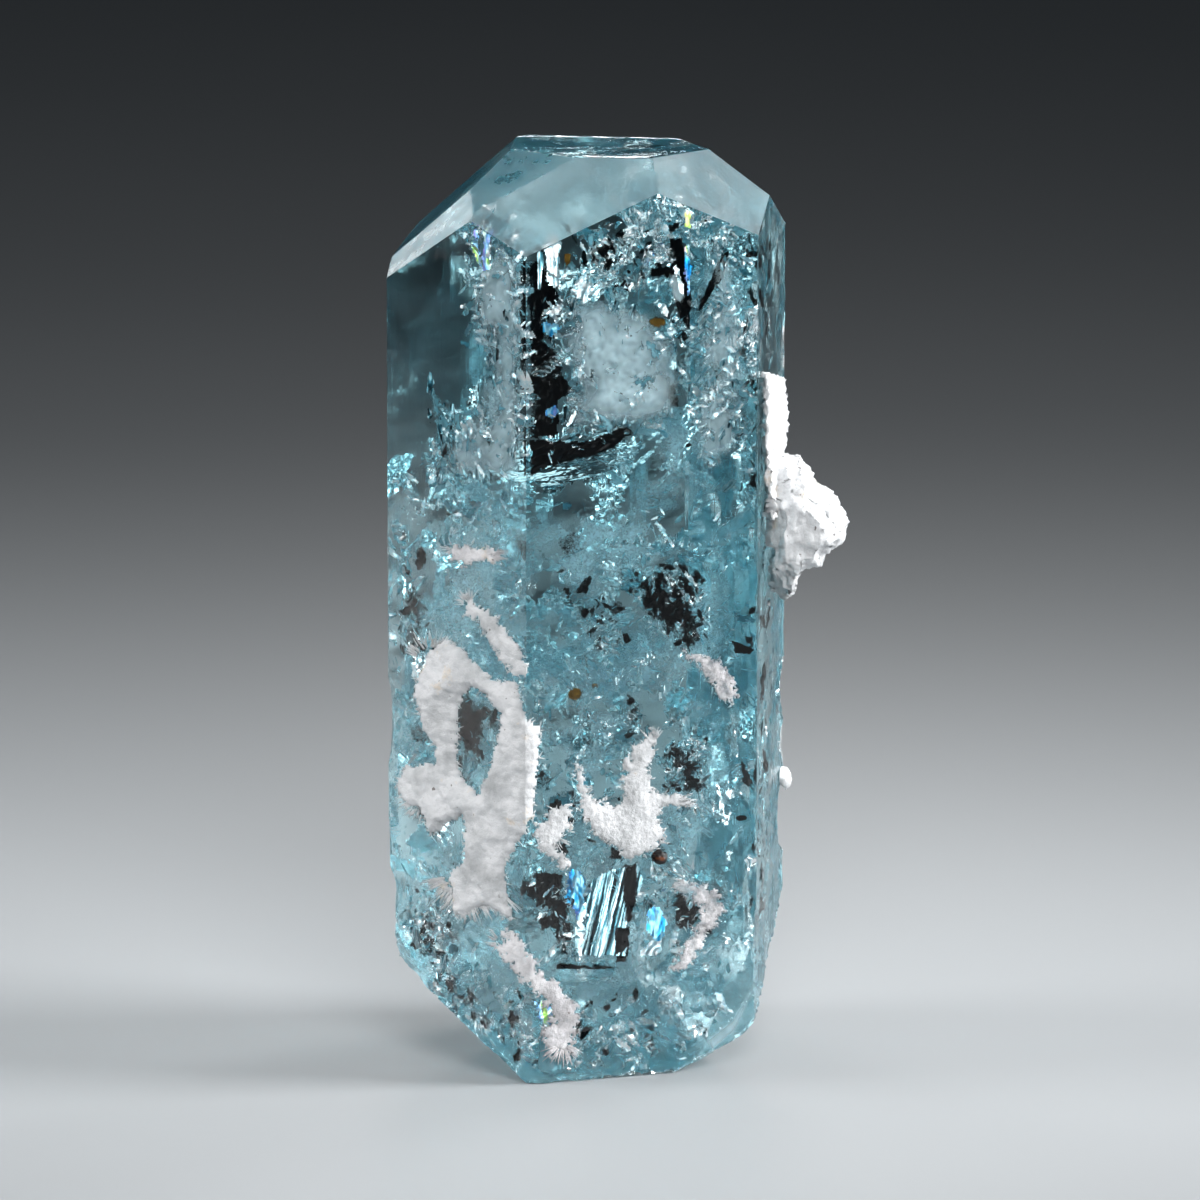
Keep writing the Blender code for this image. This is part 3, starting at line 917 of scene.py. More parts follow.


# kind, strength, depth, crumple, flow of the streaks, their length, outline, and where they
# differ from marked's own, its pace, hem, wobble and tilt
# the dark and smoky rows put painted shade where the crystal looks dark, with painted glints on
# their creases, and the silver rows carry black grooves of painted shade
for row in (
        ("dark", 1.0, 2.6, 0.4, 90, 3, DARK_STRIP, 0.17, 0.5),
        ("dark", 1.0, 1.4, 0.5, 40, 1, RINGED),
        ("dark", 1.2, 1.6, 0.5, 22, 6, WEDGE, 0.17, 0.6),
        ("haze", 1.3, 1.9, 0.5, 30, 1, MILKY, 0.17, 2.4, 1.2),
        ("haze", 1.0, 0.7, 0.3, 30, 1, MILKY, 0.17, 3.4, 1.2),
        ("dark", 0.75, 2.8, 0.7, 70, 2, MID_DARK, 0.2, 1.8),
        ("dark", 0.60, 2.8, 0.7, 70, 2, ARCH_HOLE, 0.2, 1.5),
        ("dark", 0.60, 2.6, 0.7, 70, 2, LEFT_DARK, 0.2, 1.5),
        ("dark", 0.60, 2.6, 0.7, 70, 2, RIGHT_DARK, 0.2, 1.5),
        ("pearl", 1.0, 2.6, 0.6, 30, 1, MILKY, 0.17, 1.6, 1.2),
        ("haze", 1.3, 1.3, 0.4, 70, 1.5, EDGE_VEIL, 0.17, 2.0, 1.2),
        ("haze", 0.9, 0.6, 0.3, 70, 1.5, EDGE_VEIL, 0.17, 2.6, 1.2),
        ("haze", 0.9, 1.3, 0.4, 80, 2, RIGHT_CLOUD, 0.17, 2.0, 1.6),
        ("haze", 0.6, 0.8, 0.3, 80, 2, RIGHT_CLOUD, 0.17, 2.0, 1.6),
        ("pearl", 0.9, 2.4, 0.7, 85, 2, EDGE_VEIL, 0.2, 1.8),
        ("pearl", 0.9, 1.7, 0.5, 60, 2, TOP_VEIL),
        ("pearl", 0.9, 2.0, 0.3, 100, 4, FLAME, 0.17, 1.0),
        ("dark", 1.1, 1.2, 0.4, 100, 4, LEFT_BLADE, 0.15, 0.4, 0.3),
        ("dark", 1.1, 1.2, 0.4, 64, 4, RIGHT_BLADE, 0.15, 0.4, 0.3),
        ("dark", 0.7, 1.4, 0.6, 110, 2, [(7.8, 73.2), (9.0, 73.4), (9.5, 72.1), (10.1, 69.9),
         (9.3, 70.1), (8.2, 71.2)]),
        ("dark", 0.8, 1.2, 0.6, 60, 2, [(6.5, 67.9), (7.6, 68.2), (8.4, 67.3), (9.2, 65.4),
         (8.8, 64.1), (7.6, 64.7), (6.7, 66.3)]),
        ("dark", 1.2, 0.9, 0.1, 75, 4, [(8.6, 78.6), (9.1, 78.4), (9.5, 76.8), (9.5, 75.4),
         (9.2, 74.9), (8.8, 76.7)], 0.12, 0.2, 0.1),
        ("flake", 1.3, 0.8, 0.1, 105, 6, [(7.9, 79.0), (8.4, 78.6), (8.9, 76.9), (9.2, 75.2),
         (8.7, 75.9), (8.2, 77.7)], 0.12, 0.2, 0.2, 1),
        ("azure", 1.0, 0.7, 0.1, 95, 3, [(9.1, 79.7), (9.5, 79.5), (9.8, 78.0), (9.7, 76.6),
         (9.4, 77.6)], 0.12, 0.2, 0.2, 1),
        ("haze", 0.9, 0.9, 0.2, 105, 3, [(7.6, 77.3), (8.3, 77.7), (9.1, 76.7), (9.3, 75.2),
         (8.8, 74.5), (8.0, 75.2)], 0.15, 0.5, 0.3),
        ("smoky", 0.5, 1.0, 0.5, 90, 3, [(-1.9, 28.5), (-1.3, 29.1), (-0.9, 27.5), (-0.7, 24.6),
         (-1.1, 24.1), (-1.3, 26.1)], 0.14, 0.5, 0.3),
        ("silver", 1.1, 1.8, 0.10, 77, 14, FAN, 0.08, 0.5, 0.4, 1),
        ("flake", 1.6, 0.9, 0.1, 80, 6, [(-0.9, 17.3), (0.1, 17.2), (-0.3, 14.3), (-0.7, 11.7),
         (-1.1, 13.9)], 0.12, 0.2, 0.3, 1),
        ("dark", 0.9, 0.9, 0.1, 77, 12, [(3.3, 21.2), (5.0, 21.2), (5.0, 18.8), (4.4, 15.0),
         (3.5, 15.0), (3.2, 18.5)], 0.12, 0.6, 0.5),
        ("dark", 1.2, 0.7, 0.1, 80, 4, [(2.6, 14.9), (4.2, 15.0), (4.2, 13.0), (4.0, 11.1),
         (2.6, 11.2), (2.5, 13.1)], 0.12, 0.5, 0.4),
        ("azure", 1.0, 0.8, 0.3, 100, 3, [(-1.9, 20.6), (-1.3, 20.9), (-0.2, 19.7), (-0.3, 17.3),
         (-1.1, 15.9), (-1.6, 17.4), (-2.0, 18.9)], 0.12, 0.3, 0.5, 1),
        ("dark", 0.9, 1.3, 0.7, 80, 2, [(-5.3, 21.5), (-3.7, 21.1), (-2.0, 20.8), (-2.0, 18.9),
         (-1.4, 16.4), (-1.1, 13.9), (-1.3, 12.2), (-3.1, 12.3), (-3.5, 15.1), (-4.5, 14.7),
         (-5.3, 17.2)]),
        ("dark", 0.9, 1.2, 0.6, 30, 2, [(7.9, 17.9), (9.0, 18.2), (10.5, 17.1), (11.4, 16.4),
         (11.1, 14.4), (10.0, 13.8), (8.5, 13.6), (8.0, 15.7)]),
        ("dark", 0.9, 0.8, 0.2, 0, 3, [(-3.1, 11.9), (-0.2, 11.5), (3.1, 11.1), (3.3, 10.6),
         (-0.2, 10.8), (-3.0, 11.1)], 0.12, 0.3, 0.2),
        ("smoky", 0.5, 1.0, 0.4, 30, 1, [(0.3, 7.3), (1.4, 7.6), (2.3, 6.8), (1.8, 6.0),
         (0.6, 6.1)]),
        ("smoky", 0.4, 1.0, 0.4, 20, 1, [(5.0, 5.4), (7.0, 5.5), (8.1, 4.4), (7.1, 3.5),
         (5.5, 3.6)]),
        ("haze", 0.9, 0.4, 0.1, 50, 3, [(11.3, 3.2), (13.7, 4.9), (15.8, 8.2), (16.6, 10.1),
         (15.8, 6.7), (14.2, 3.7), (12.0, 1.9)], 0.15, 0.5, 0.3),
        ("pearl", 1.1, 0.5, 0.2, 95, 4, [(-4.8, 4.9), (-3.4, 4.4), (-1.6, 3.2), (-0.7, 1.4),
         (-1.2, 0.6), (-3.6, 0.6), (-4.9, 1.4)], 0.14, 0.6, 0.5),
        ("rainbow", 1.0, 0.8, 0.1, 92, 3, [(-10.9, 81.6), (-10.4, 81.8), (-10.0, 78.3),
         (-10.5, 78.5)], 0.12, 0.2, 0.3, 1),
        ("rainbow", 1.0, 0.8, 0.1, 88, 3, [(-9.8, 82.0), (-9.1, 82.2), (-9.2, 78.2), (-9.8, 78.2)],
         0.12, 0.2, 0.3, 1),
        ("rainbow", 1.0, 0.6, 0.1, 100, 3, [(9.2, 83.6), (10.0, 83.4), (9.8, 81.8), (9.3, 81.9)],
         0.12, 0.2, 0.3, 1),
        ("rainbow", 1.0, 0.8, 0.1, 100, 3, [(9.1, 80.0), (9.4, 80.0), (9.8, 75.5), (9.5, 75.5)],
         0.12, 0.2, 0.3, 1),
        ("azure", 1.0, 0.6, 0.1, 80, 3, [(5.7, 16.1), (6.3, 16.8), (7.0, 16.4), (7.5, 15.0),
         (7.3, 13.5), (6.5, 13.1), (5.8, 14.4)], 0.12, 0.2, 0.2, 1),
        ("flake", 1.4, 0.6, 0.2, 60, 3, [(5.2, 12.5), (6.0, 13.2), (7.1, 13.5), (7.0, 12.3),
         (6.4, 11.7), (5.1, 11.8)], 0.12, 0.2, 0.4, 1),
        ("rainbow", 1.0, 0.35, 0.1, 120, 1, [(-4.9, 8.0), (-3.9, 8.1), (-2.9, 7.0), (-2.9, 6.1),
         (-3.7, 5.8), (-4.6, 6.6)], 0.12, 0.3, 0.5, 1),
        ("flake", 1.5, 1.0, 0.1, 92, 6, [(-3.9, 81.7), (-2.8, 81.7), (-2.5, 79.6), (-2.8, 76.8),
         (-3.6, 76.9), (-3.9, 79.3)], 0.12, 0.2, 0.3, 1),
        ("silver", 1.3, 1.0, 0.1, 92, 6, [(-4.8, 80.9), (-4.2, 80.9), (-4.1, 78.7), (-4.3, 76.5),
         (-4.7, 76.7)], 0.12, 0.2, 0.2, 1),
        ("stain", 1.0, 0.5, 0.1, 0, 1, [(-2.2, 80.0), (-1.5, 80.0), (-1.5, 79.1), (-2.0, 78.6),
         (-2.2, 79.2)], 0.1, 0.2, 0.1),
        ("flake", 1.4, 0.8, 0.3, 70, 2, [(-0.9, 77.5), (0.1, 78.0), (0.3, 76.4), (-0.4, 75.2),
         (-1.3, 75.2), (-1.4, 76.3)], 0.12, 0.3, 0.8, 1),
        ("flake", 1.4, 0.8, 0.3, 60, 2, [(-3.3, 75.5), (-2.1, 75.6), (-1.8, 74.4), (-2.5, 73.6),
         (-3.5, 73.6), (-3.8, 74.6)], 0.12, 0.3, 0.8, 1),
        ("azure", 0.8, 0.8, 0.2, 60, 2, [(-4.2, 73.6), (-2.9, 73.5), (-2.5, 72.7), (-3.7, 72.0),
         (-4.2, 72.5)], 0.14, 0.3, 0.4),
        ("azure", 0.8, 0.9, 0.2, 20, 2, [(-3.8, 65.4), (-2.9, 65.4), (-2.6, 64.9), (-3.4, 64.4),
         (-3.9, 64.8)], 0.12, 0.3, 0.2),
        ("flake", 1.4, 0.6, 0.2, 120, 2, [(3.9, 76.4), (4.3, 77.0), (4.6, 76.8), (4.2, 76.0),
         (3.9, 75.9)], 0.12, 0.2, 0.2, 1),
        ("flake", 1.5, 0.6, 0.2, 45, 2, [(6.6, 74.7), (7.3, 74.5), (7.7, 73.9), (7.6, 73.3),
         (7.0, 73.9)], 0.12, 0.2, 0.3, 1),
        ("stain", 1.0, 0.4, 0.2, 0, 1, oval(-1.2, 37.8, 0.9, 0.8), 0.1, 0.4, 0.4),
        ("stain", 0.8, 0.4, 0.2, 0, 1, oval(0.7, 38.3, 0.5, 0.6), 0.1, 0.3, 0.3),
        ("stain", 1.0, 0.35, 0.2, 130, 2, oval(6.6, 73.0, 1.2, 0.8), 0.12, 0.6, 0.4),
        ("speck", 1.0, 0.25, 0.1, 0, 1, [(13.4, 42.1), (14.3, 41.8), (16.0, 40.9), (15.6, 40.3),
         (14.0, 40.6), (13.9, 41.4)], 0.08, 0.2, 0.3),
        ("speck", 1.0, 0.25, 0.1, 0, 1, oval(14.7, 24.6, 0.7, 0.4), 0.08, 0.2, 0.4),
        ("speck", 1.0, 0.25, 0.1, 0, 1, oval(9.6, 61.0, 0.35, 0.3), 0.08, 0.2, 0.1),
        ("speck", 1.0, 0.25, 0.1, 0, 1, oval(11.2, 82.4, 0.22, 0.2), 0.07, 0.15, 0.1)):
    marked(*row)

FLOOR_LEFT = (-0.9, 0.1, -0.3)
FLOOR_RIGHT = (0.9, 0.1, -0.3)
rng = Random(31)
# large clean cracks: x, z, depth, goal of the mirrored ray, long, wide, roll, crumple, streak
for x, z, depth, goal, long, wide, roll, crumple, streak in (
        (-8.8, 79.0, 1.2, FLOOR_LEFT, 5.0, 4.0, 60, 0.5, 1.5),
        (-9.0, 72.0, 1.5, FLOOR_RIGHT, 9.0, 3.6, 85, 0.5, 1.5),
        (-8.2, 64.0, 1.5, FLOOR_LEFT, 7.0, 4.0, 80, 0.5, 1.5),
        (5.2, 14.0, 2.6, FLOOR_RIGHT, 8.0, 3.0, 84, 0.15, 5)):
    place, inside = beneath(x, z, depth)
    crack(rng, place, facing_to(inside, goal), long, wide, radians(roll), crumple, streak, 0.17)
# the nearly level crack that closes the wedge, the ringed one by the dark strip, and a low one
place, _ = beneath(-0.8, 60.2, 5.0)
crack(rng, place, Vector((-0.31, -0.53, 1)).normalized(), 13, 9.5, radians(14), 0.10, 7, 0.2)
place, _ = beneath(-3.8, 69.8, 1.0)
crack(rng, place, outwards(-10, 38), 4.2, 3.4, 0.6, 0.14, 1, 0.08, rings=11, ragged=0.6, margin=0.2)
place, _ = beneath(-0.5, 10.8, 4.0)
crack(rng, place, Vector((0.1, -0.15, 1)).normalized(), 9, 6, 0, 0.10, 2, 0.2)
# lined cracks all through the crystal; the smoky ones are painted shade
for kind, amount in (("pearl", 70), ("smoky", 30), ("streaked", 14)):
    placed = 0
    while placed < amount:
        spot = Vector((rng.uniform(-18, 18), rng.uniform(-17, 17), rng.uniform(4, 82)))
        draws = [rng.random() for _ in range(6)]
        if depth_at(spot) < 0.7 or in_clear_part(spot):
            continue
        placed += 1
        size = 1.5 + 4 * draws[0] ** 1.5
        facing = outwards(360 * draws[1], 80 * draws[2] - 30)
        crack(rng, spot, facing, size, size * (0.3 + 0.4 * draws[3]), pi * draws[4], 0.5,
              1 + 2 * draws[5], 0.2, kind)
# outlines met from the front that small cracks fill: how many, their sizes, depths and kinds; smoky
# ones are painted shade
for row in (
        (DARK_STRIP, 8, (0.4, 1.2), (0.4, 1.2), ("flake", None, None, "lines")),
        (WEDGE, 14, (0.4, 1.4), (0.4, 1.2), ("flake", None, None, "lines")),
        ([(-5.3, 21.5), (-2.0, 20.8), (-2.0, 18.9), (-1.1, 13.9), (-1.3, 12.2), (-3.1, 12.3),
         (-4.5, 14.7)], 30, (0.4, 1.5), (0.3, 1.0), ("flake", None, None, "lines")),
        ([(7.9, 17.9), (9.0, 18.2), (11.4, 16.4), (11.1, 14.4), (8.5, 13.6), (8.0, 15.7)], 24,
         (0.4, 1.5), (0.3, 1.0), ("flake", None, None, "lines")),
        ([(5.8, 20.4), (7.8, 20.2), (7.6, 17.6), (6.4, 17.4)], 24, (0.5, 1.5), (0.3, 1.0),
         ("flake", None)),
        ([(-4.0, 28.0), (6.0, 29.0), (8.0, 22.0), (2.0, 21.5), (-4.5, 22.5)], 70, (0.7, 2.4),
         (0.4, 2.0), ("smoky", "smoky", None, "lines")),
        ([(-1.0, 79.4), (4.0, 82.8), (8.6, 83.0), (8.0, 77.0), (2.0, 76.0)], 110, (0.7, 2.8),
         (0.4, 2.4), ("flake", "smoky", None, None)),
        (MILKY, 130, (0.9, 3.0), (0.3, 1.5), ("flake", "silver", "pearl", None, None)),
        (EDGE_VEIL, 230, (0.8, 2.8), (0.3, 1.2), ("flake", "silver", "flake", "pearl", None)),
        (TOP_VEIL, 50, (0.8, 2.4), (0.4, 1.8), ("flake", "pearl", None)),
        (FLAME, 36, (0.8, 3.0), (0.5, 1.8), ("flake", "silver", "lines", None)),
        (FOOT, 140, (0.8, 2.4), (0.3, 1.6), ("flake", "smoky", "pearl", None, None)),
        (RIGHT_CLOUD, 150, (0.8, 2.4), (0.3, 1.4), ("flake", "silver", "flake", "pearl", None)),
        (LOW_LEFT, 110, (0.8, 3.0), (0.3, 1.6), ("flake", "smoky", None, "silver", None))):
    sprinkle(rng, *row)
# dark crackled patches of painted shade, as they are met from the front: many small dark cracks of
# painted shade and clear ones
for outline, amount in (
        (MID_DARK, 90),
        ([(-3.0, 51.7), (0.6, 48.3), (3.9, 42.7), (1.4, 40.8), (-2.2, 45.9)], 60),
        ([(2.9, 37.2), (5.2, 36.4), (5.2, 33.4), (3.8, 33.2)], 24),
        (RIGHT_DARK, 50),
        (LEFT_DARK, 50),
        (ARCH_HOLE, 50),
        ([(-15.5, 16.6), (-12.8, 14.2), (-13.8, 10.2), (-16.2, 12.4)], 40)):
    sprinkle(rng, outline, amount, (0.7, 2.6), (0.4, 2.2), ("smoky", "smoky", None, None, "lines"))
# front spots that a trail of fine cracks follows, how many, its spread and its depth
for trail, amount, spread, depth in (
        ([(-3.0, 78.6), (-1.6, 75.9), (-2.6, 72.0), (-0.6, 66.7), (-1.6, 63.3)], 44, 0.5, 1.2),
        ([(-10.5, 82.0), (-11.1, 75.1), (-9.5, 70.5), (-11.1, 63.6), (-14.0, 57.5)], 70, 0.8, 1.0),
        ([(-7.0, 78.0), (-8.0, 70.0), (-7.5, 62.0)], 50, 1.1, 1.2),
        ([(-2.9, 62.8), (3.6, 63.6), (9.2, 64.0)], 50, 0.7, 1.4),
        ([(-1.0, 80.0), (4.0, 83.0), (9.0, 83.4), (13.0, 80.5)], 80, 1.6, 1.6),
        ([(9.3, 81.0), (9.6, 74.0), (9.8, 70.0), (10.6, 66.0)], 50, 1.0, 1.0),
        ([(15.0, 79.0), (14.6, 72.0), (15.0, 64.0), (14.8, 54.0)], 60, 1.0, 1.0),
        ([(2.0, 54.0), (6.0, 50.0), (9.0, 53.0), (12.0, 48.0)], 60, 2.0, 1.4),
        ([(-16.0, 57.0), (-12.0, 54.0), (-8.0, 55.0)], 50, 1.5, 1.2),
        ([(-3.0, 46.0), (3.0, 39.0), (0.0, 34.0), (6.0, 28.0)], 60, 2.4, 1.4),
        ([(-5.0, 20.0), (-0.5, 14.0), (-4.0, 9.0)], 60, 1.2, 1.2),
        ([(6.0, 19.5), (8.0, 14.0), (12.5, 17.0), (13.0, 11.0)], 60, 1.4, 1.2),
        ([(-16.5, 18.0), (-13.0, 12.0), (-8.0, 6.0)], 80, 1.4, 1.0),
        ([(-9.0, 7.0), (-2.0, 5.0), (5.0, 4.0), (12.0, 6.5)], 110, 1.7, 1.0),
        ([(-17.0, 50.0), (-17.0, 40.0), (-16.0, 30.0)], 60, 1.2, 1.2),
        ([(8.0, 36.0), (12.0, 30.0), (9.0, 24.0)], 60, 1.6, 1.2)):
    for _ in range(amount):
        share = rng.random() * (len(trail) - 1)
        step = int(share)
        start, end = Vector(trail[step]), Vector(trail[step + 1])
        spot = start.lerp(end, share - step) + Vector((rng.gauss(0, spread), rng.gauss(0, spread)))
        place, _ = beneath(spot.x, spot.y, depth * rng.uniform(0.5, 2.2))
        draws = [rng.random() for _ in range(6)]
        if place is None or depth_at(place) < 0.3:
            continue
        kind = (None, None, "flake", "lines", "pearl")[int(draws[0] * 5)]
        size = 0.8 + 1.8 * draws[1] ** 1.5
        lean = outwards(160 * draws[2] - 80, 100 * draws[3] - 50)
        if kind == "flake":
            lean = mirror_way(spot.x, draws[2], draws[3])
        thin = {"lines": 0.12, "flake": 0.25}.get(kind, 0.5)
        crack(rng, place, lean, size, size * thin, pi * draws[4], 0.3, 1 + 2 * draws[5], 0.14, kind,
              margin=0.15)
# the narrow right face, over its whole height; its dark and smoky cracks are painted shade
sideways = outwards(RIGHT_FACE)
for _ in range(170):
    draws = [rng.random() for _ in range(7)]
    spot = sideways * 60 + Vector((0, rng.uniform(-9, 2), rng.uniform(14, 80)))
    hit, normal, _, _ = CRYSTAL.ray_cast(spot, sideways * -1)
    if hit is None or normal.dot(sideways) < 0.8:
        continue
    kind = (None, None, "smoky", "smoky", "dark", "lines")[int(draws[0] * 6)]
    size = 1.2 + 4.0 * draws[1] ** 1.5
    place = hit - normal * (0.4 + 1.2 * draws[2])
    lean = outwards(RIGHT_FACE + 80 * draws[3] - 40, 60 * draws[4] - 30)
    crack(rng, place, lean, size, size * (0.12 if kind == "lines" else 0.45), pi * draws[5], 0.4,
          1 + 2 * draws[6], 0.16, kind, margin=0.15)
# bundles of fine white lines
placed = 0
while placed < 110:
    spot = Vector((rng.uniform(-19, 19), rng.uniform(-18, 18), rng.uniform(4, 80)))
    draws = [rng.random() for _ in range(5)]
    if not 0.4 < depth_at(spot) < 3.5 or in_clear_part(spot):
        continue
    placed += 1
    facing = outwards(degrees(atan2(spot.x, -spot.y)) + 60 * draws[0] - 30, 50 * draws[1] - 25)
    roll = pi * draws[2]
    for _ in range(4 + int(7 * draws[3])):
        near = spot + Vector((rng.gauss(0, 0.8), rng.gauss(0, 0.5), rng.gauss(0, 0.8)))
        if depth_at(near) > 0.25:
            long, wide = rng.uniform(0.8, 2.6), rng.uniform(0.10, 0.22)
            crack(rng, near, facing, long, wide, roll + rng.gauss(0, 0.2), 0.15, 2, 0.28, "lines",
                  ragged=0.6, margin=0.12)

for kind, (name, material) in KINDS.items():
    sheets = piece_from(CRACKS[kind], name, material)
    sheets.data.shade_smooth()
    sheets.data.set_sharp_from_angle(angle=radians(55))


# ---------------------------------------------------------------- veils of specks

veils = bmesh.new()


def veil(rng, centre, facing, long, wide, roll):
    """Add one veil of specks: a gently curved ragged sheet, as thin as a hair."""

    def lift(spot, key):
        rise = 0.2 * long * noise.noise(spot * (1.1 / long) + key)
        return Vector((0, 0, rise + 0.5 * noise.noise(spot * 0.35 + key)))

    part = sheet_of(rng, centre, facing, long, wide, roll, 0.8, lift, 0.7, 0.25)
    if not part.faces:
        part.free()
        return
    thicken(part, FILM)
    join(veils, part)


rng = Random(77)
# x, z, depth, azimuth and rise it faces, long, wide, roll
for x, z, depth, azimuth, rise, long, wide, roll in (
        (3.1, 68.5, 3.5, 15, 12, 16, 13, 80), (4.5, 68.0, 6.0, 30, 20, 15, 13, 60),
        (0.5, 67.0, 5.0, 0, 20, 10, 8, 60),
        (-8.4, 71.0, 1.6, -30, 5, 24, 6, 90), (-8.0, 66.0, 2.8, -20, 15, 20, 6, 85),
        (-13.6, 61.0, 2.5, -45, 10, 11, 3.2, 100), (12.0, 66.0, 4.0, 30, 10, 18, 8, 85),
        (12.5, 74.0, 3.0, 20, 20, 12, 6, 90), (10.0, 60.0, 5.0, 25, 15, 12, 12, 85),
        (2.0, 52.0, 5.0, 10, 20, 18, 12, 10), (8.0, 42.0, 6.0, 30, 10, 18, 14, 80),
        (-12.0, 47.0, 3.0, -35, 10, 18, 10, 90), (-12.0, 33.0, 4.0, -30, 20, 16, 10, 80),
        (-1.0, 36.0, 5.0, 0, 10, 16, 12, 80), (9.0, 26.0, 4.0, 25, 0, 18, 11, 70),
        (-12.0, 19.0, 3.0, -30, 10, 16, 10, 80), (0.0, 22.0, 6.0, 10, 10, 16, 12, 30),
        (3.0, 8.0, 3.0, 20, -30, 18, 9, 0), (-9.0, 9.0, 3.0, -30, -20, 14, 8, 30)):
    place, _ = beneath(x, z, depth)
    veil(rng, place, outwards(azimuth, rise), long, wide, radians(roll))
for _ in range(26):
    spot = outwards(rng.uniform(40, 320)) * rng.uniform(2, 14) + UP * rng.uniform(8, 78)
    veil(rng, spot, outwards(rng.uniform(0, 360), rng.uniform(-40, 40)), rng.uniform(8, 18),
         rng.uniform(6, 12), rng.uniform(0, pi))
piece_from(veils, "speck_veils", VEIL)


# ---------------------------------------------------------------- albite growths

def crust(rng, name, pace, thick, ragged, spread, feather, key):
    """Grow a snowy crust on the crystal over the spot that a CAD growth covers. Its rim is ragged,
    and needles of feather's length stand out from it."""
    source = node_mesh(name)
    cover = BVHTree.FromBMesh(source)
    xs = [v.co.x for v in source.verts]
    zs = [v.co.z for v in source.verts]
    source.free()
    border, sunk = 0.8, 0.06
    low = Vector((min(xs) - border, 0, min(zs) - border))
    high = Vector((max(xs) + border, 0, max(zs) + border))
    size = high - low
    bm = bmesh.new()
    bmesh.ops.create_grid(bm, x_segments=max(int(size.x / pace), 2),
                          y_segments=max(int(size.z / pace), 2), size=0.5)
    bmesh.ops.scale(bm, vec=(size.x, size.z, 1), verts=bm.verts)
    bmesh.ops.rotate(bm, matrix=Matrix.Rotation(radians(90), 3, "X"), verts=bm.verts)
    bmesh.ops.translate(bm, vec=(low + high) / 2, verts=bm.verts)
    seed = Vector((key * 13.7, key * 5.1, key * 2.3))
    around = [(0, 0)] + [(spread * cos(t * pi / 3), spread * sin(t * pi / 3)) for t in range(6)]

    def covered(spot):
        return any(met_from_front(cover, spot.x + x, spot.z + z)[0] for x, z in around)

    lost = []
    for face in bm.faces:
        spot = face.calc_center_median()
        shift = Vector((noise.noise(spot * 1.5 + seed), 0, noise.noise(spot * 1.5 - seed)))
        shift += 0.8 * Vector((noise.noise(spot * 4.3 + seed), 0, noise.noise(spot * 4.3 - seed)))
        if not covered(spot + shift * ragged):
            lost.append(face)
    bmesh.ops.delete(bm, geom=lost, context="FACES")
    lost = []
    for vertex in bm.verts:
        hit, normal = met_from_front(CRYSTAL, vertex.co.x, vertex.co.z)
        if hit is None:
            lost.append(vertex)
        else:
            vertex.co = hit - normal * sunk
    bmesh.ops.delete(bm, geom=lost, context="VERTS")
    # needles start on the rim and point away from the crust
    rim = [vertex for vertex in bm.verts if vertex.is_boundary]
    starts = []
    for vertex in rim:
        middle = sum((face.calc_center_median() for face in vertex.link_faces), Vector())
        if vertex.link_faces:
            starts.append((vertex.co.copy(), vertex.co - middle / len(vertex.link_faces)))
    # how far each vertex lies from the rim, step by step inwards
    inset = {vertex: 0.0 for vertex in rim}
    while rim:
        inner = []
        for vertex in rim:
            for link in vertex.link_edges:
                other = link.other_vert(vertex)
                if other not in inset:
                    inset[other] = inset[vertex] + pace
                    inner.append(other)
        rim = inner
    insets = [inset.get(vertex, 0.0) for vertex in bm.verts]
    bases = bm.verts[:]
    grown = bmesh.ops.extrude_face_region(bm, geom=bm.faces[:], use_keep_orig=True)
    tops = {}
    for item in grown["geom"]:
        if isinstance(item, bmesh.types.BMVert):
            tops[tuple(round(c, 5) for c in item.co)] = item
    for base, room in zip(bases, insets):
        top = tops[tuple(round(c, 5) for c in base.co)]
        spot = base.co.copy()
        lump = 0.8 + 0.6 * noise.noise(spot * 0.45 + seed) + 0.25 * noise.noise(spot * 1.3 + seed)
        grains = 0.09 * noise.noise(spot * 2.9 + seed) + 0.07 * noise.noise(spot * 5.7 + seed)
        share = 1 - exp(-room / 0.55)
        rise = 0.10 + max(thick * lump, 0.06) * share + grains * min(room / 0.3, 1)
        top.co = spot + outward_at(spot) * rise
    bmesh.ops.recalc_face_normals(bm, faces=bm.faces[:])
    for start, away in starts:
        if rng.random() < 0.3:
            lean = Vector((rng.gauss(0, 0.5), 0, rng.gauss(0, 0.5)))
            away = (away.normalized() + lean) * rng.uniform(0.3, 1.0) * feather
            needle(bm, start, start + away, rng.uniform(0.05, 0.09))
    return bm


def needle(bm, near, far, width):
    """Add one albite needle that lies on the crystal from one spot to another."""
    ends = []
    for spot, lift in ((near, 0.12), (far, 0.03)):
        hit, normal = met_from_front(CRYSTAL, spot.x, spot.z)
        if hit is None:
            return
        ends.append(hit + normal * lift)
    line = ends[1] - ends[0]
    if not 0.05 < line.length < 4:
        return
    turn = line.to_track_quat("Z", "Y").to_matrix().to_4x4()
    bmesh.ops.create_cone(bm, cap_ends=True, segments=5, radius1=width, radius2=0.02,
                          depth=line.length,
                          matrix=Matrix.Translation((ends[0] + ends[1]) / 2) @ turn)


def fringe(bm, rng, x, z, start, end, reach, count, length, width):
    """Add feathery needles that fan out over the crystal from a growth: angles in degrees from
    the right, reach in mm to where they start."""
    for _ in range(count):
        angle = radians(rng.uniform(start, end))
        away = Vector((cos(angle), 0, sin(angle)))
        near = Vector((x, 0, z)) + away * reach * rng.uniform(0.7, 1.05)
        far = near + away * length * rng.uniform(0.5, 1.1) + Vector((rng.uniform(-0.3, 0.3), 0, 0))
        needle(bm, near, far, rng.uniform(0.5, 1.0) * width)


def outward_at(spot):
    """The crystal's outward direction, eased over its edges."""
    total = Vector((0, 0, 0))
    for turn in range(6):
        shift = Vector((cos(turn * pi / 3), 0, sin(turn * pi / 3))) * 0.5
        _, normal, _, _ = CRYSTAL.find_nearest(spot + shift)
        total += normal
    return total.normalized()


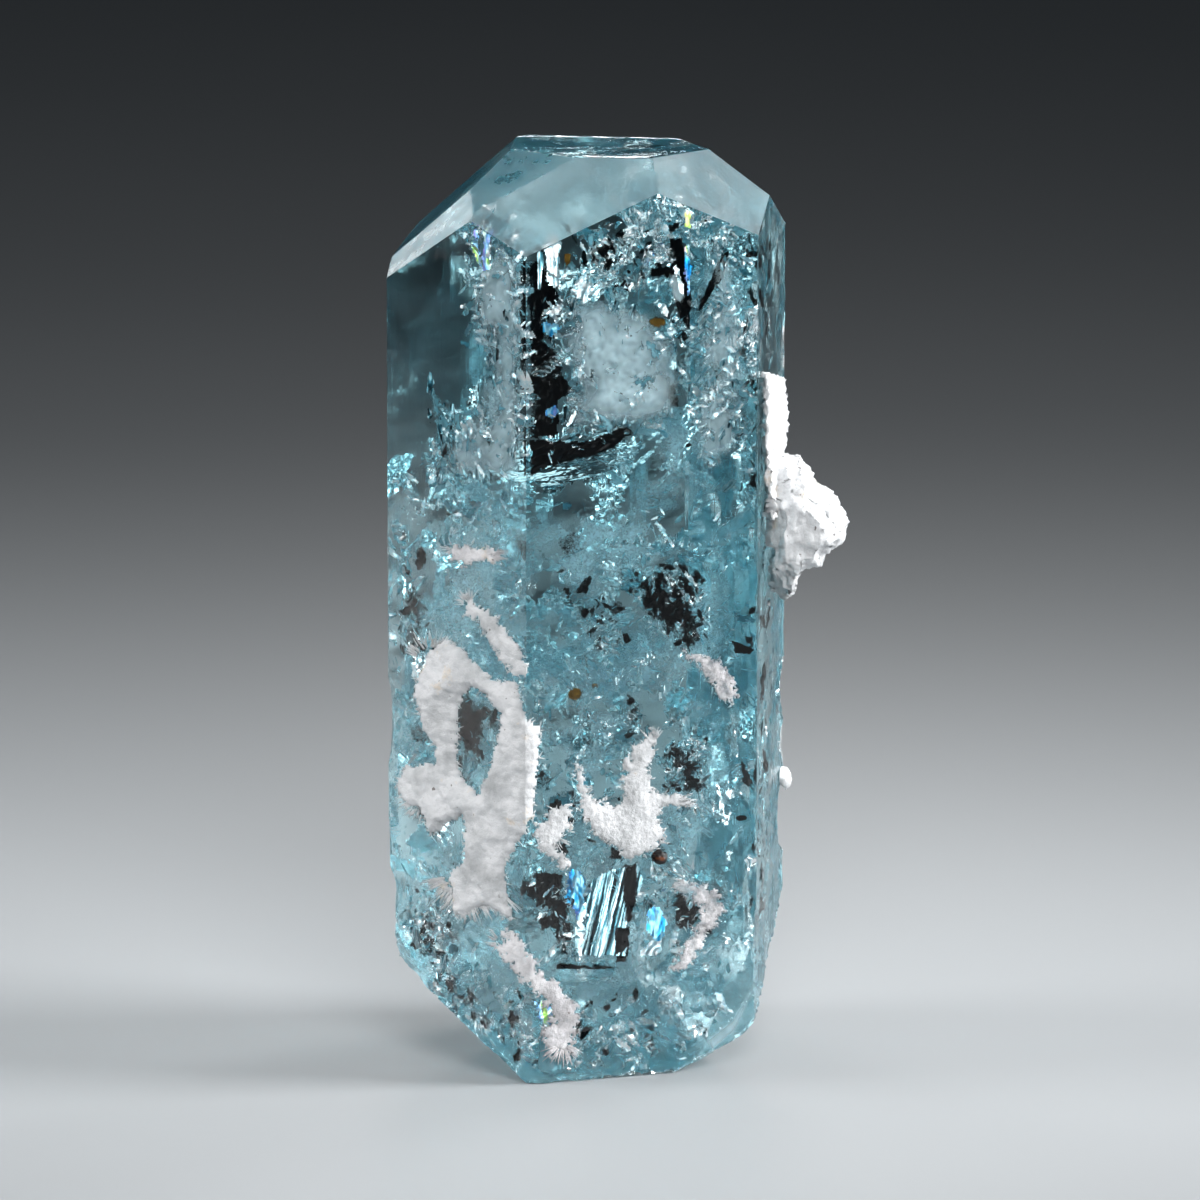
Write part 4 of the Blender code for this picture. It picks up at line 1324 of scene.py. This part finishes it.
# growth, finish, pace, thickness, raggedness, spread, length of the needles on its rim
CRUSTS = (
    ("albite_arch", ALBITE, 0.17, 0.9, 0.30, 0.15, 0.40),
    ("albite_upper_ribbon", ALBITE, 0.17, 0.40, 0.50, 0.10, 0.30),
    ("albite_lower_ribbon", THIN_ALBITE, 0.17, 0.22, 0.65, 0.05, 0.30),
    ("albite_flake", THIN_ALBITE, 0.15, 0.18, 0.55, 0.10, 0.30),
    ("albite_tuft", ALBITE, 0.15, 0.30, 0.50, 0.05, 0.30),
    ("albite_fork", ALBITE, 0.15, 0.26, 0.55, 0.00, 0.30),
    ("albite_hook", FAINT_ALBITE, 0.15, 0.08, 0.60, 0.00, 0.25),
    ("albite_wisp", FAINT_ALBITE, 0.15, 0.06, 0.60, 0.00, 0.25),
)
# growth: x, z, first and last angle, reach, count, length, width
FRINGES = {
    "albite_arch": ((-11.6, 19.8, 200, 335, 3.0, 170, 1.9, 0.13),
                    (-14.6, 39.4, 50, 160, 2.4, 60, 1.1, 0.11),
                    (-15.3, 27.0, 150, 320, 2.6, 90, 0.9, 0.11),
                    (-8.2, 18.6, 250, 330, 1.0, 30, 1.6, 0.10)),
    "albite_upper_ribbon": ((-11.0, 45.9, 60, 190, 0.8, 20, 0.9, 0.09),),
    "albite_lower_ribbon": ((-2.4, 4.0, 200, 340, 0.9, 40, 1.6, 0.12),
                            (-8.2, 13.6, 120, 230, 0.6, 16, 1.0, 0.09)),
    "albite_flake": ((-9.4, 50.9, -25, 25, 0.8, 12, 1.3, 0.08),
                     (-12.6, 51.0, 120, 230, 0.5, 12, 0.8, 0.08)),
    "albite_tuft": ((-3.4, 24.4, 200, 330, 1.2, 26, 1.0, 0.08),),
    "albite_fork": ((7.0, 26.6, -15, 15, 2.4, 12, 1.6, 0.07),
                    (6.1, 32.4, 50, 130, 1.0, 14, 1.0, 0.08)),
    "albite_hook": ((10.4, 18.6, 100, 190, 1.6, 16, 1.0, 0.07),),
}
rng = Random(88)
for number, (growth, finish, pace, thick, ragged, spread, feather) in enumerate(CRUSTS):
    grown = crust(rng, growth, pace, thick, ragged, spread, feather, number + 1)
    for row in FRINGES.get(growth, ()):
        fringe(grown, rng, *row)
    patch = piece_from(grown, growth + "_crust", finish, growth)
    patch.data.shade_smooth()


def grainy_lump(name, pace, lumps, grains, key):
    """A thick growth: the CAD solid cut fine, then roughened into blocky grains. What lies next to
    the crystal is sunk into it a little."""
    bm = node_mesh(name)
    flatten(bm)
    low = Vector([min(v.co[i] for v in bm.verts) for i in range(3)])
    high = Vector([max(v.co[i] for v in bm.verts) for i in range(3)])
    for axis in range(3):
        way = Vector((0, 0, 0))
        way[axis] = 1
        for number in range(1, int((high[axis] - low[axis]) / pace) + 1):
            cut(bm, whole(bm), low + way * (number * pace - 0.013), way)
    bm.normal_update()
    seed = Vector((key * 7.3, key * 1.9, key * 4.4))
    touching, sunk = 0.42, 0.08
    moves = []
    for vertex in bm.verts:
        spot = vertex.co
        rise = noise.noise(spot * 0.55 + seed) + 0.6 * noise.noise(spot * 1.3 + seed) - 0.35
        rise *= lumps
        rise += grains * (noise.cell(spot * 2.3 + seed) - 0.6 + 0.6 * noise.noise(spot * 5 + seed))
        moves.append(vertex.normal * rise)
    for vertex, move in zip(bm.verts, moves):
        vertex.co += move
        if depth_at(vertex.co) > -touching:
            near, normal, _, _ = CRYSTAL.find_nearest(vertex.co)
            vertex.co = near - normal * sunk
    return bm


# growth, finish, slot, how far apart its cuts are and how high its lumps
for number, (growth, finish, slot, pace, lumps) in enumerate((
        ("albite_knob", THICK_ALBITE, "albite", 0.28, 0.45),
        ("albite_bead", THICK_ALBITE, "albite", 0.16, 0.12),
        ("garnet_grain", GARNET, "garnet", 0.16, 0.12))):
    lump = grainy_lump(growth, pace, lumps, lumps * 0.4, number + 31)
    grown = piece_from(lump, growth + "_grown", finish, growth)
    grown.data.shade_smooth()
